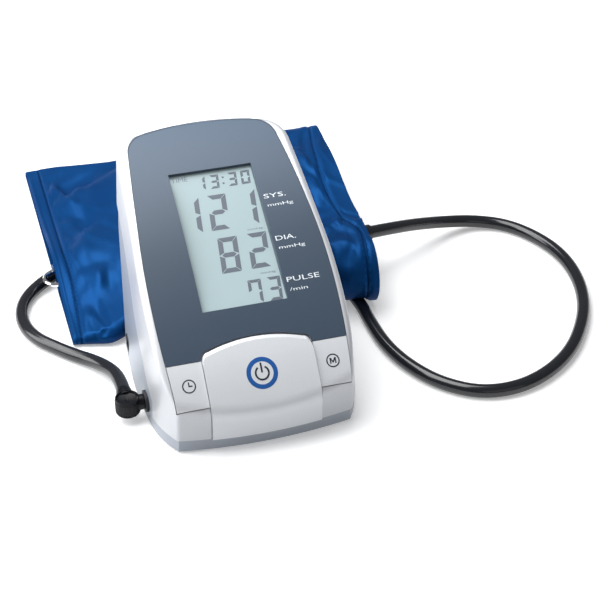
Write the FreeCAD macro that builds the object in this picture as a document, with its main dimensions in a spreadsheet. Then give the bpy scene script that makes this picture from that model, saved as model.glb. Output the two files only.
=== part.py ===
"""Upper-arm blood pressure monitor: desk console, wrap cuff and air hose.

Frame in millimetres: X to the right of someone reading the display, Y to the back, Z up.
The origin lies on the table, under the middle of the console's foot.
"""
import FreeCAD, Part
import Sketcher
import math
import os
import re
from FreeCAD import Placement, Rotation, Vector

doc = FreeCAD.newDocument("PressureMonitor")

# ---------------------------------------------------------------- driving dimensions
sizes = {
    # console plan outline at the table and at the height of the top edge
    "base_half": 54.2, "base_corner_half": 43.4, "base_corner_y": -44.6, "base_front_y": -48.6,
    "base_side_radius": 230.0, "base_straight_y": 25.0,
    "top_half": 45.2, "top_corner_half": 40.0, "top_corner_y": -50.0, "top_front_y": -57.5,
    "top_side_radius": 320.0, "top_straight_y": 15.0,
    "widest_y": 8.0, "flank_y": -22.0, "top_level": 104.0,
    "rear_corner_y": 71.5, "rear_corner_radius": 15.0, "rear_y": 89.5, "rear_overhang": 3.0,
    "edge_radius": 3.0,
    # side profile: display face, key face, rear wall
    "face_radius": 298.0, "hip_y": -30.8, "hip_height": 43.1, "hip_slope": 39.35,
    "key_radius": 122.0, "nose_radius": 12.0,
    "foot_rear_y": 43.0, "rear_bulge_y": 70.0, "rear_bulge_height": 48.0,
    # shells
    "wall": 3.0, "lower_wall": 2.2, "lower_inset": 0.8, "seam_gap": 0.25, "foot_height": 1.2,
    "seam_front": 8.5, "seam_step_y": -24.5, "seam_step_top": 17.5,
    "seam_knee_y": -7.3, "seam_knee_height": 30.2, "seam_rear_height": 79.0,
    # display window
    # its outline and the keys' is set in from the console's half width at the hip
    "panel_thick": 1.6, "panel_gap": 0.15, "panel_bottom_rim": 6.07, "panel_rim": 5.27,
    "panel_half_y": 35.0, "panel_waist_rim": 7.57, "panel_waist_y": 73.0,
    "panel_shoulder_rim": 12.07, "panel_shoulder_y": 116.0, "panel_crown_rim": 24.47,
    "panel_crown_y": 130.3, "panel_length": 133.0,
    "screen_left": 21.7, "screen_right": 20.5, "screen_low": 23.1, "screen_high": 100.6,
    "screen_recess": 2.2, "screen_cutter": 40.0, "bezel_rim": 3.0, "glass_margin": 2.0, "glass_thick": 2.8,
    # keys
    "key_seam": 0.35, "key_proud": 0.3, "key_thick": 1.3, "key_travel": 0.6, "key_inner": 27.35,
    "key_rim_top": 6.27, "key_rim_low": 7.67, "key_length": 22.4,
    "power_half": 27.0, "power_proud": 1.5, "power_thick": 1.6, "power_arch_side": 45.2,
    "power_arch_top": 47.6, "power_corner": 3.5, "power_gap": 0.55,
    "post_diameter": 5.0, "post_hole_gap": 0.6, "key_rest_gap": 0.75, "key_slack": 0.15,
    "power_slack": 1.0, "bead_diameter": 2.4, "bead_gap": 0.1, "bead_half": 14.0, "bead_height": 11.0,
    "bead_depth": 0.7,
    # boards, switches and display electronics
    "board_thick": 1.6, "board_width": 66.0, "board_length": 92.0, "board_depth": 7.0,
    "board_start": 14.0, "board_gap": 1.0, "key_board_length": 16.0, "key_board_depth": 9.0,
    "switch_side": 6.0, "switch_body": 3.5, "switch_stem": 3.5, "switch_gap": 0.05, "strip_width": 2.4,
    "buzzer_diameter": 12.0, "buzzer_height": 6.5, "sensor_side": 10.0, "sensor_height": 6.0,
    "port_diameter": 3.0, "port_length": 5.0,
    # pump and valve
    "motor_diameter": 24.4, "motor_length": 30.0, "pump_y": 44.0, "pump_height": 40.0,
    "motor_left": -14.0, "head_diameter": 27.0, "head_length": 19.0, "head_wall": 2.2,
    "shaft_diameter": 2.0, "crank_diameter": 9.0, "crank_length": 8.0, "crank_offset": 2.4,
    "cradle_thick": 2.4, "cradle_gap": 0.1, "valve_side": 15.0, "valve_length": 18.0, "valve_inset": 28.7385,
    "plunger_diameter": 4.0, "plunger_reach": 4.0, "plunger_travel": 1.2, "fit": 0.05,
    # batteries and their door
    "cell_diameter": 14.5, "cell_length": 49.2, "cell_nub": 5.5, "cell_nub_length": 1.3,
    "cell_gap": 0.6, "bay_wall": 1.6, "bay_front_y": -22.0, "contact_room": 4.5,
    "contact_thick": 0.5, "door_thick": 1.8, "door_gap": 0.2, "door_lip": 2.0,
    # fasteners and feet
    "screw_diameter": 3.0, "screw_length": 12.0, "screw_head": 5.4, "screw_head_thick": 2.0,
    "post_outer": 7.0, "screw_front_inset": 11.2, "screw_front_y": -26.0, "screw_rear_inset": 15.2,
    "screw_rear_y": 24.0, "screw_seat": 11.0, "foot_diameter": 9.0, "foot_sink": 0.8,
    "foot_front_x": 38.0, "foot_front_y": -38.0, "foot_rear_x": 42.0, "foot_rear_inset": 10.0,
    # side sockets
    "socket_y": -12.5, "socket_height": 9.5, "socket_diameter": 11.0, "socket_length": 9.0,
    "socket_wall": 2.6, "socket_flange": 1.2, "nozzle_diameter": 5.2, "nozzle_bore": 2.6,
    "nozzle_length": 6.5,
    "jack_y": 36.0, "jack_width": 9.0, "jack_height": 8.6, "jack_length": 12.0, "jack_bore": 5.6,
    "jack_pin": 2.0, "jack_wall": 2.8, "tube_diameter": 5.0, "tube_bore": 2.6,
    # air plug and hose
    "drum_diameter": 12.4, "drum_height": 8.8, "drum_dish": 1.2, "drum_x": -61.0,
    "neck_diameter": 7.6, "hose_diameter": 7.0,
    "collar_length": 14.0, "collar_diameter": 9.0, "cuff_hem": 6.0,
    # cuff
    "cuff_left": -77.4, "cuff_right": 84.0, "sleeve_thick": 2.0, "lining_thick": 1.2,
    "layer_gap": 0.3, "bladder_thick": 2.4, "bladder_left": -34.0, "bladder_right": 76.0,
    "hose_tunnel": 1.6,
    "ring_left": -84.8, "ring_right": -46.0, "ring_y": 101.5, "ring_width": 15.0, "ring_bar": 2.2,
    "ring_height": 9.7,
}

sheet = doc.addObject("Spreadsheet::Sheet", "Sizes")
for row, (alias, number) in enumerate(sizes.items(), start=1):
    sheet.set("A%d" % row, alias)
    sheet.set("B%d" % row, str(number))
    sheet.setAlias("B%d" % row, alias)
doc.recompute()


def value(alias):
    """A driving dimension, read from the sheet."""
    return float(sheet.get(alias))


def formula(text):
    """Turn bare size names in an expression into references to the sheet."""
    return re.sub(r"[a-z][a-z_]+", lambda word: "Sizes." * (word.group() in sizes) + word.group(), text)


def bind(thing, **links):
    """Bind properties (Placement_Base_x and so on) to expressions on the sheet."""
    for name, text in links.items():
        thing.setExpression(name.replace("_", "."), formula(text))
    return thing


def primitive(kind, name, turn=None, **links):
    """A Part primitive whose sizes and place are bound to the sheet."""
    thing = doc.addObject("Part::" + kind, name)
    if turn:
        thing.Placement = Placement(Vector(), turn)
    return bind(thing, **links)


def fuse(name, *pieces):
    """One solid made of several document objects."""
    thing = doc.addObject("Part::MultiFuse", name)
    thing.Shapes = list(pieces)
    thing.Refine = True
    return thing


def cut(name, base, tool):
    """A document object less another one."""
    thing = doc.addObject("Part::Cut", name)
    thing.Base = base
    thing.Tool = tool
    return thing


def feature(name, shape):
    """A document object whose shape is worked out from the sheet's sizes."""
    thing = doc.addObject("Part::Feature", name)
    thing.Shape = shape
    return thing


ALONG_X = Rotation(Vector(0, 1, 0), 90)
parts = []


def part(name, thing):
    """Keep a finished sub-part under the name that its file gets."""
    thing.Label = name
    parts.append(thing)
    return thing


# ---------------------------------------------------------------- console outer form
hip = Vector(0, value("hip_y"), value("hip_height"))
hip_half = value("base_half") + (value("top_half") - value("base_half")) * hip.z / value("top_level")
slope = math.radians(value("hip_slope"))
face_centre = hip + Vector(0, math.sin(slope), -math.cos(slope)) * value("face_radius")
key_centre = hip + Vector(0, math.sin(slope), -math.cos(slope)) * value("key_radius")


def on_face(y):
    """Height of the display face at depth y."""
    return face_centre.z + math.sqrt(value("face_radius") ** 2 - (y - face_centre.y) ** 2)


def on_keys(angle):
    """Point of the key face whose slope is the given angle."""
    return key_centre + Vector(0, -math.sin(angle), math.cos(angle)) * value("key_radius")


def arc(start, middle, end):
    return Part.Arc(start, middle, end).toShape()


def mirrored(points):
    return [Vector(-point.x, point.y, point.z) for point in points]


def plan(level, height):
    """Closed outline of the console at one height: crowned front, bowed sides, rounded rear."""
    half, radius = value(level + "_half"), value(level + "_side_radius")
    widest, straight = value("widest_y"), value(level + "_straight_y")

    def side(y):
        return half - (radius - math.sqrt(radius ** 2 - (y - widest) ** 2))

    corner = Vector(value(level + "_corner_half"), value(level + "_corner_y"), height)
    flank = Vector(side(value("flank_y")), value("flank_y"), height)
    lean = math.asin((widest - flank.y) / radius)
    tangent = Vector(math.sin(lean), math.cos(lean), 0)
    chord = flank - corner
    bow = chord.Length / 2 * math.tan(tangent.getAngle(chord) / 2)
    outward = Vector(chord.y, -chord.x, 0).normalize()
    flank_middle = (corner + flank) / 2 + outward * bow
    straight_start = Vector(side(straight), straight, height)
    fall = (straight - widest) / math.sqrt(radius ** 2 - (straight - widest) ** 2)
    rear_y, bend = value("rear_corner_y"), value("rear_corner_radius")
    rear_start = Vector(straight_start.x - fall * (rear_y - straight), rear_y, height)
    lean_rear = math.atan(fall)
    middle_of_bend = rear_start - Vector(math.cos(lean_rear), math.sin(lean_rear), 0) * bend

    def bend_point(degrees):
        turn = lean_rear + math.radians(degrees)
        return middle_of_bend + Vector(math.cos(turn), math.sin(turn), 0) * bend

    bend_middle, bend_end = bend_point(34), bend_point(68)
    right = [corner, flank_middle, flank, Vector(half, widest, height), straight_start, rear_start,
             bend_middle, bend_end]
    left = mirrored(right)
    edges = [arc(left[0], Vector(0, value(level + "_front_y"), height), right[0]),
             arc(*right[0:3]), arc(*right[2:5]),
             Part.LineSegment(right[4], right[5]).toShape(),
             arc(*right[5:8]),
             arc(right[7], Vector(0, value("rear_y"), height), left[7]),
             arc(left[7], left[6], left[5]),
             Part.LineSegment(left[5], left[4]).toShape(),
             arc(left[4], left[3], left[2]), arc(left[2], left[1], left[0])]
    return Part.Wire(edges)


def side_profile():
    """Closed side view: display face, key face run out past the nose, floor and bulged rear wall."""
    rear = value("rear_y") + value("rear_overhang")
    top = Vector(0, rear, on_face(rear))
    middle_y = (hip.y + top.y) / 2
    low = on_keys(math.radians(58))
    middle = on_keys((slope + math.radians(58)) / 2)
    floor_front = Vector(0, low.y, 0)
    foot = Vector(0, value("foot_rear_y"), 0)
    bulge = Vector(0, value("rear_bulge_y"), value("rear_bulge_height"))
    return Part.Wire([arc(top, Vector(0, middle_y, on_face(middle_y)), hip), arc(hip, middle, low),
                      Part.LineSegment(low, floor_front).toShape(),
                      Part.LineSegment(floor_front, foot).toShape(), arc(foot, bulge, top)])


def grown(wire, amount):
    """An outline moved outwards (or inwards, if negative) in its own plane."""
    return wire.makeOffset2D(amount, join=2) if abs(amount) > 1e-6 else wire


def console_form(inset):
    """The console's body, with every surface moved inwards by inset, and its nose rounded."""
    loft = Part.makeLoft([grown(plan("base", 0), -inset), grown(plan("top", value("top_level")), -inset)],
                         True, True)
    reach = 2 * value("base_half")
    block = Part.Face(grown(side_profile(), -inset)).extrude(Vector(2 * reach, 0, 0))
    block.translate(Vector(-reach, 0, 0))
    body = loft.common(block).removeSplitter()
    nose = [edge for edge in body.Edges
            if edge.BoundBox.XLength > value("base_half") and edge.BoundBox.ZMax < hip.z
            and edge.BoundBox.ZMin > value("seam_front") and edge.BoundBox.YMax < hip.y]
    return body.makeFillet(value("nose_radius") - inset, nose)


def on_rim(edge):
    """True for the edges where the display and key faces meet the flanks and the crown."""
    box, middle = edge.BoundBox, edge.valueAt((edge.FirstParameter + edge.LastParameter) / 2)
    across = box.XLength > value("base_half") and box.YMax < value("widest_y")
    rolls = ((face_centre, value("face_radius")), (key_centre, value("key_radius")))
    return not across and any(abs((middle - centre).cross(Vector(1, 0, 0)).Length - radius) < 0.01
                              for centre, radius in rolls)


outer = console_form(0)
outer = outer.makeFillet(value("edge_radius"), [edge for edge in outer.Edges if on_rim(edge)])
wide = 2 * value("base_half")


def tilted(face, angle, low, high, origin=hip):
    """A face drawn in XY, laid on a plane through origin that rises to the back by angle, and thickened."""
    prism = face.extrude(Vector(0, 0, high - low))
    prism.translate(Vector(0, 0, low))
    stance = Placement(origin, Rotation(Vector(1, 0, 0), math.degrees(angle)))
    prism.Placement = stance.multiply(prism.Placement)
    return prism


def face_roll(depth):
    """Solid cylinder whose skin lies the given depth under the display face."""
    length = 3 * value("base_half")
    return Part.makeCylinder(value("face_radius") - depth, length,
                             face_centre - Vector(length / 2, 0, 0), Vector(1, 0, 0))


def rectangle(left, right, low, high):
    corners = [Vector(left, low), Vector(right, low), Vector(right, high), Vector(left, high)]
    return Part.Face(Part.makePolygon(corners + corners[:1]))


def slab(left, right, front, back, low, high):
    """Box between two corners."""
    return Part.makeBox(right - left, back - front, high - low, Vector(left, front, low))


def seam_block(drop):
    """Everything above the line where the two housings meet, with that line lowered by drop."""
    step_y = value("seam_step_y")
    knee = Vector(0, value("seam_knee_y"), value("seam_knee_height") - drop)
    front = Vector(0, -2 * value("base_half"), value("seam_front") - drop)
    step = Vector(0, step_y + drop, front.z)
    step_top = Vector(0, step_y + 1 + drop, value("seam_step_top") - drop)
    rear = Vector(0, value("rear_y") + 5, value("seam_rear_height") - drop)
    climb = Vector(0, (step_top.y + knee.y) / 2 + 0.5, (step_top.z + knee.z) / 2 - 1)
    middle = (knee + rear) / 2 + Vector(0, 0, 3)
    top = 2 * value("top_level")
    edges = [Part.LineSegment(front, step).toShape(), Part.LineSegment(step, step_top).toShape(),
             arc(step_top, climb, knee), arc(knee, middle, rear),
             Part.makePolygon([rear, Vector(0, rear.y, top), Vector(0, front.y, top), front])]
    reach = 2 * value("base_half")
    block = Part.Face(Part.Wire(edges)).extrude(Vector(2 * reach, 0, 0))
    block.translate(Vector(-reach, 0, 0))
    return block


def face_at(along):
    """Point of the display face at a distance up from the hip, measured over the curve."""
    turn = slope - along / value("face_radius")
    return face_centre + Vector(0, -math.sin(turn), math.cos(turn)) * value("face_radius")


def rise(start, end):
    """Slope of the line from one point to another, seen from the side."""
    return math.atan2(end.z - start.z, end.y - start.y)


panel_slope = rise(hip, face_at(value("panel_length")))
key_slope = slope + value("key_length") / value("key_radius") / 2
screen_origin = face_at(value("screen_low"))
screen_slope = rise(screen_origin, face_at(value("screen_high")))
screen_length = (face_at(value("screen_high")) - screen_origin).Length


def frame_at(origin, angle, across=0.0, along=0.0, depth=0.0):
    """Placement on a plane through origin that rises to the back, at a depth below that plane."""
    lean = Rotation(Vector(1, 0, 0), math.degrees(angle))
    return Placement(origin + lean.multVec(Vector(across, along, -depth)), lean)


def panel_face(gap):
    """Outline of the display window: bowed sides, rounded shoulders, crowned top."""
    right = [Vector(hip_half - value("panel_bottom_rim"), 0),
             Vector(hip_half - value("panel_rim"), value("panel_half_y")),
             Vector(hip_half - value("panel_waist_rim"), value("panel_waist_y"))]
    shoulder = Vector(hip_half - value("panel_shoulder_rim"), value("panel_shoulder_y"))
    crown = Vector(hip_half - value("panel_crown_rim"), value("panel_crown_y"))
    bow = (right[2] + shoulder) / 2 + Vector(0.2, 0)
    bend = (shoulder + crown) / 2 + Vector(2.4, 2.4)
    left = mirrored(right + [bow, shoulder, bend, crown])
    wire = Part.Wire([
        Part.LineSegment(left[0], right[0]).toShape(), arc(*right), arc(right[2], bow, shoulder),
        arc(shoulder, bend, crown), arc(crown, Vector(0, value("panel_length")), left[6]),
        arc(left[6], left[5], left[4]), arc(left[4], left[3], left[2]), arc(left[2], left[1], left[0])])
    return Part.Face(grown(wire, gap))


def key_face(side, gap):
    """Outline of a small key on the key slope; side is 1 for the right one, -1 for the left."""
    seam = value("key_seam")
    inner = value("key_inner") - gap
    top, low = hip_half - value("key_rim_top") + gap, hip_half - value("key_rim_low") + gap
    high_edge, low_edge = gap - seam, -value("key_length") - gap
    corners = [Vector(inner, low_edge), Vector(low, low_edge), Vector(top, high_edge),
               Vector(inner, high_edge)]
    corners = [Vector(side * corner.x, corner.y) for corner in corners]
    return Part.Face(Part.makePolygon(corners + corners[:1]))


def power_face(gap):
    """Front view of the power key: straight sides and an arched top with rounded corners."""
    half, bend = value("power_half") + gap, value("power_corner")
    low = value("seam_front") + 2 * value("seam_gap") - gap
    shoulder, top = value("power_arch_side") + gap, value("power_arch_top") + gap
    side = Vector(half, shoulder - bend)
    tip = Vector(half - bend, shoulder)
    corner = Vector(half - 0.29 * bend, shoulder - 0.29 * bend)
    other = mirrored([side, corner, tip])
    wire = Part.Wire([
        Part.makePolygon([other[0], Vector(-half, low), Vector(half, low), side]), arc(side, corner, tip),
        arc(tip, Vector(0, top), other[2]), arc(other[2], other[1], other[0])])
    return Part.Face(wire)


def power_prism(gap):
    """The power key's outline carried level from in front of the nose back into the console."""
    depth = -value("base_front_y")
    return tilted(power_face(gap), math.pi / 2, -depth / 4, depth, Vector(0, value("base_front_y") / 2, 0))


def along_x(diameter, left, right, y, z):
    """Round bar along X."""
    return Part.makeCylinder(diameter / 2, right - left, Vector(left, y, z), Vector(1, 0, 0))


def along_y(diameter, front, back, x, z):
    """Round bar along Y."""
    return Part.makeCylinder(diameter / 2, back - front, Vector(x, front, z), Vector(0, 1, 0))


def upright(diameter, low, high, x, y):
    """Round bar along Z."""
    return Part.makeCylinder(diameter / 2, high - low, Vector(x, y, low))


def stacked(shapes):
    """Several separate solids kept as one shape."""
    return Part.makeCompound(list(shapes))


# ---------------------------------------------------------------- fasteners and feet
screw_front_x = value("base_half") - value("screw_front_inset")
screw_rear_x = value("base_half") - value("screw_rear_inset")
screw_spots = [(side * screw_front_x, value("screw_front_y")) for side in (-1, 1)]
screw_spots += [(side * screw_rear_x, value("screw_rear_y")) for side in (-1, 1)]
foot_spots = [(side * value("foot_front_x"), value("foot_front_y")) for side in (-1, 1)]
foot_spots += [(side * value("foot_rear_x"), value("foot_rear_y") - value("foot_rear_inset"))
               for side in (-1, 1)]
seat = value("screw_seat")
post_split = seat + value("lower_wall")
screw_tip = seat + value("screw_length")

part("housing_screws", feature("Screws", stacked(
    upright(value("screw_head"), seat - value("screw_head_thick"), seat, x, y).fuse(
        upright(value("screw_diameter"), seat, screw_tip, x, y)).removeSplitter()
    for x, y in screw_spots)))
foot_top = value("foot_height") + value("foot_sink")
part("rubber_feet", feature("Feet", stacked(
    upright(value("foot_diameter"), 0, foot_top, x, y) for x, y in foot_spots)))

# ---------------------------------------------------------------- display and boards
board_top = value("board_depth")
board_bottom = board_top + value("board_thick")
board_posts = [(side * (value("board_width") / 2 - value("screw_diameter")), value("board_start") + along)
               for side in (-1, 1)
               for along in (value("screw_diameter"), value("board_length") - value("screw_diameter"))]


def on_panel(shape, across=0.0, along=0.0, depth=0.0):
    shape.Placement = frame_at(hip, panel_slope, across, along, depth).multiply(shape.Placement)
    return shape


def on_screen(shape, across=0.0, along=0.0, depth=0.0):
    shape.Placement = frame_at(screen_origin, screen_slope, across, along, depth).multiply(shape.Placement)
    return shape


def on_key_plane(shape, across=0.0, along=0.0, depth=0.0):
    shape.Placement = frame_at(hip, key_slope, across, along, depth).multiply(shape.Placement)
    return shape


glass_depth = value("screen_recess")
glass = Part.makeBox(value("screen_left") + value("screen_right") + 2 * value("glass_margin"),
                     screen_length + 2 * value("glass_margin"), value("glass_thick"),
                     Vector(-value("screen_left") - value("glass_margin"), -value("glass_margin"),
                            -value("glass_thick")))
part("lcd_glass", feature("Glass", on_screen(glass, depth=glass_depth)))


def board(name, width, length, thick, place):
    """A circuit board as a padded sketch whose width, an expression, and length follow the sheet."""
    body = doc.addObject("PartDesign::Body", name)
    sketch = body.newObject("Sketcher::SketchObject", name + "Outline")
    plane = [item for item in body.Origin.OriginFeatures if item.Role == "XY_Plane"][0]
    sketch.AttachmentSupport = (plane, [""])
    sketch.MapMode = "FlatFace"
    half, end = value("top_half"), value(length)
    corners = [Vector(-half, 0), Vector(half, 0), Vector(half, end), Vector(-half, end)]
    for start, stop in zip(corners, corners[1:] + corners[:1]):
        sketch.addGeometry(Part.LineSegment(start, stop))
    for line in range(4):
        sketch.addConstraint(Sketcher.Constraint("Coincident", line, 2, (line + 1) % 4, 1))
    for kind, line in (("Horizontal", 2), ("Vertical", 1), ("Vertical", 3)):
        sketch.addConstraint(Sketcher.Constraint(kind, line))
    sketch.addConstraint(Sketcher.Constraint("Symmetric", 0, 1, 0, 2, -2))
    sketch.addConstraint(Sketcher.Constraint("PointOnObject", 0, 1, -1))
    wide = sketch.addConstraint(Sketcher.Constraint("DistanceX", 0, 1, 0, 2, 2 * half))
    long = sketch.addConstraint(Sketcher.Constraint("DistanceY", 1, 1, 1, 2, end))
    sketch.setExpression("Constraints[%d]" % wide, formula(width))
    sketch.setExpression("Constraints[%d]" % long, formula(length))
    pad = body.newObject("PartDesign::Pad", name + "Pad")
    pad.Profile = sketch
    bind(pad, Length=thick)
    pad.Reversed = True
    body.Placement = place
    return body


part("main_board", board("MainBoard", "board_width", "board_length", "board_thick",
                         frame_at(hip, panel_slope, 0, value("board_start"), board_top)))
key_board_start = -(value("key_length") + value("key_board_length")) / 2
between_posts = "2 * (base_half - screw_front_inset - board_gap) - post_outer"
part("key_board", board("KeyBoard", between_posts, "key_board_length", "board_thick",
                        frame_at(hip, key_slope, 0, key_board_start, value("key_board_depth"))))

# ---------------------------------------------------------------- keys
key_middle = -value("key_length") / 2
small_key_x = (value("key_inner") + hip_half - value("key_rim_top")) / 2
switch_top = value("key_board_depth") - value("switch_body") - value("switch_gap")
switch_spots = (-small_key_x, 0.0, small_key_x)


def switch(across):
    side, stem = value("switch_side"), value("switch_stem")
    case = Part.makeBox(side, side, value("switch_body") - 1, Vector(-side / 2, -side / 2, 0))
    button = Part.makeCylinder(stem / 2, value("switch_body"))
    return on_key_plane(case.fuse(button), across, key_middle, value("key_board_depth"))


part("key_switches", feature("Switches", stacked(switch(across) for across in switch_spots)))


def key_post(across, diameter, start=0.0):
    """Round post under a key, from just inside the skin down to its switch."""
    end = switch_top - value("key_rest_gap")
    post = Part.makeCylinder(diameter / 2, end - start, Vector(0, 0, -end))
    return on_key_plane(post, across, key_middle)


def small_key(side):
    skin = console_form(-value("key_proud")).cut(console_form(value("key_thick")))
    cap = skin.common(tilted(key_face(side, 0), key_slope, -value("key_length") / 2, value("key_length")))
    post = key_post(side * small_key_x, value("post_diameter"), value("key_proud"))
    return cap.fuse(post).removeSplitter()


part("clock_key", feature("ClockKey", small_key(-1)))
part("memory_key", feature("MemoryKey", small_key(1)))

bead_y = value("base_front_y") + (value("top_front_y") - value("base_front_y")) / value("top_level") \
    * value("bead_height") + value("bead_depth")
power_inside = console_form(value("power_thick") - value("power_proud"))
power_skin = console_form(-value("power_proud")).cut(power_inside)
bead = along_x(value("bead_diameter"), -value("bead_half"), value("bead_half"), bead_y, value("bead_height"))
power_cap = power_skin.common(power_prism(0)).fuse(bead)
power_post = key_post(0, value("post_diameter"), -value("power_proud") / 2)
part("power_key", feature("PowerKey", power_cap.fuse(power_post).removeSplitter()))

# ---------------------------------------------------------------- display window and bezel
cutter = value("screen_cutter")
screen_hole = Part.makeBox(value("screen_left") + value("screen_right"), screen_length, cutter,
                           Vector(-value("screen_left"), 0, -cutter / 2))
on_screen(screen_hole)
panel_block = tilted(panel_face(0), panel_slope, -cutter / 8, cutter * 3 / 8)
panel = panel_block.common(face_roll(0)).cut(face_roll(value("panel_thick"))).common(outer)
below_hip = tilted(rectangle(-wide, wide, -wide, 0), key_slope, -wide, wide)
panel = panel.cut(below_hip).cut(power_prism(value("power_gap"))).cut(screen_hole)
part("window_panel", feature("Window", max(panel.Solids, key=lambda solid: solid.Volume)))

rim = value("bezel_rim")
bezel_outer = Part.makeBox(value("screen_left") + value("screen_right") + 2 * rim, screen_length + 2 * rim,
                           cutter / 2, Vector(-value("screen_left") - rim, -rim, 0))
on_screen(bezel_outer, depth=glass_depth)
bezel = bezel_outer.common(face_roll(value("panel_thick"))).cut(screen_hole)
part("lcd_bezel", feature("Bezel", bezel))


def strip(along):
    """Rubber contact strip between the display glass and the board."""
    low = board_bottom
    width = value("screen_left") + value("screen_right")
    block = Part.makeBox(width, value("strip_width"), low, Vector(-value("screen_left"), along, -low))
    on_screen(block, depth=glass_depth + value("glass_thick"))
    lid = Part.makeBox(4 * width, 4 * width, cutter, Vector(-2 * width, -width, 0))
    return block.common(on_panel(lid, depth=board_top))


part("contact_strips", feature("Strips", stacked([strip(0), strip(screen_length - value("strip_width"))])))

# ---------------------------------------------------------------- upper housing
inner = console_form(value("wall"))
shell = outer.cut(inner).common(seam_block(0))
posts = [upright(value("post_outer"), post_split, value("top_level"), x, y) for x, y in screw_spots]
board_post = Part.makeCylinder(value("post_outer") / 2, board_top + cutter / 2)
posts += [on_panel(board_post.copy(), across, along, board_top) for across, along in board_posts]
core = console_form(value("wall") / 2)
for post in posts:
    shell = shell.fuse(post.common(core))
for x, y in screw_spots:
    shell = shell.cut(upright(value("screw_diameter") + 2 * value("fit"), 0, screw_tip + 1, x, y))
panel_seat = tilted(panel_face(value("panel_gap")), panel_slope, -cutter / 8, cutter * 3 / 8)
shell = shell.cut(panel_seat.cut(face_roll(value("panel_thick"))))
bezel_room = rectangle(-value("screen_left") - rim - 0.2, value("screen_right") + rim + 0.2, -rim - 0.2,
                       screen_length + rim + 0.2).extrude(Vector(0, 0, cutter))
bezel_room.translate(Vector(0, 0, -cutter / 2))
shell = shell.cut(on_screen(bezel_room))
small_floor = console_form(value("key_thick") + value("key_travel") + value("key_slack"))
for side in (-1, 1):
    seat_block = tilted(key_face(side, value("key_seam")), key_slope, -value("key_length") / 2,
                        value("key_length"))
    shell = shell.cut(seat_block.cut(small_floor))
power_floor = console_form(value("power_thick") - value("power_proud") + value("power_slack"))
shell = shell.cut(power_prism(value("power_gap")).cut(power_floor))
for across in switch_spots:
    shell = shell.cut(key_post(across, value("post_diameter") + 2 * value("post_hole_gap"), -5))
groove = along_x(value("bead_diameter") + 2 * value("bead_gap"), -value("bead_half") - value("power_gap"),
                 value("bead_half") + value("power_gap"), bead_y, value("bead_height"))
part("upper_housing", feature("UpperHousing", shell.cut(groove)))

# ---------------------------------------------------------------- batteries
cell_pitch = value("cell_diameter") + value("cell_gap")
cell_count = 4
bay_half = (value("cell_length") + value("cell_nub_length")) / 2 + value("contact_room")
bay_back = value("bay_front_y") + cell_count * cell_pitch
door_top = value("foot_height") + value("door_thick")
cell_z = door_top + value("cell_gap") + value("cell_diameter") / 2
bay_top = cell_z + value("cell_diameter") / 2 + value("cell_gap")


def cell_y(number):
    return value("bay_front_y") + (number + 0.5) * cell_pitch


cells = []
for number in range(cell_count):
    facing = 1 if number % 2 == 0 else -1
    can_end = facing * (value("cell_length") - value("cell_nub_length")) / 2
    nub_end = can_end + facing * value("cell_nub_length")
    far_end = -facing * (value("cell_length") + value("cell_nub_length")) / 2
    axis = (cell_y(number), cell_z)
    can = along_x(value("cell_diameter"), min(can_end, far_end), max(can_end, far_end), *axis)
    nub = along_x(value("cell_nub"), min(can_end, nub_end), max(can_end, nub_end), *axis)
    cells.append(can.fuse(nub).removeSplitter())
part("batteries", feature("Batteries", stacked(cells)))


def contact(side, number):
    """Leaf contact: a strip bent to a shallow V that presses on the end of a cell."""
    thick, tall = value("contact_thick"), value("cell_diameter") / 2
    wall_x = bay_half
    cell_x = (value("cell_length") + value("cell_nub_length")) / 2 + value("fit")
    path = [Vector(wall_x, 0, -tall), Vector(wall_x, 0, tall), Vector(wall_x - thick, 0, tall),
            Vector(cell_x, 0, 0), Vector(wall_x - thick, 0, -tall)]
    inner_path = [Vector(wall_x - thick, 0, tall - 2 * thick), Vector(wall_x - thick, 0, -tall + 2 * thick),
                  Vector(cell_x + 1.5 * thick, 0, 0)]
    window = Part.Face(Part.makePolygon(inner_path + inner_path[:1]))
    solid = Part.Face(Part.makePolygon(path + path[:1])).cut(window).extrude(Vector(0, tall, 0))
    if side < 0:
        solid = solid.mirror(Vector(), Vector(1, 0, 0))
    solid.translate(Vector(0, cell_y(number) - tall / 2, cell_z))
    return solid


part("battery_contacts", feature("Contacts", stacked(
    contact(side, number) for side in (-1, 1) for number in range(cell_count))))

# ---------------------------------------------------------------- lower housing and its door
lower_outer = console_form(value("lower_inset"))
lower_inner = console_form(value("lower_inset") + value("lower_wall"))
below_feet = slab(-wide, wide, -wide, wide, -wide, value("foot_height"))
base = lower_outer.cut(lower_inner).cut(seam_block(value("seam_gap"))).cut(below_feet)
floor_block = slab(-wide, wide, -wide, wide, value("foot_height"), door_top)
base = base.fuse(floor_block.common(lower_outer))
bay_wall = value("bay_wall")
bay_box = slab(-bay_half - bay_wall, bay_half + bay_wall, value("bay_front_y") - bay_wall,
               bay_back + bay_wall, value("foot_height"), bay_top + bay_wall)
pump_axis = (value("pump_y"), value("pump_height"))
motor_left = value("motor_left")
motor_right = motor_left + value("motor_length")
motor_room = along_x(value("motor_diameter") + 2 * value("cradle_gap"), motor_left - 1, motor_right + 1,
                     *pump_axis)
cradle_front = value("pump_y") - value("motor_diameter") / 2
ribs = []
for x in (motor_left + value("motor_length") / 4, motor_left + value("motor_length") * 3 / 4):
    ribs.append(slab(x, x + value("cradle_thick"), cradle_front, value("rear_y"), door_top,
                     value("pump_height")).cut(motor_room))
wall_at_pump = value("base_half") + (value("top_half") - value("base_half")) * value("pump_height") \
    / value("top_level")
valve_x = wall_at_pump - value("valve_inset") + value("valve_length") / 2
valve_low = value("pump_height") - value("valve_side") / 2
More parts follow.
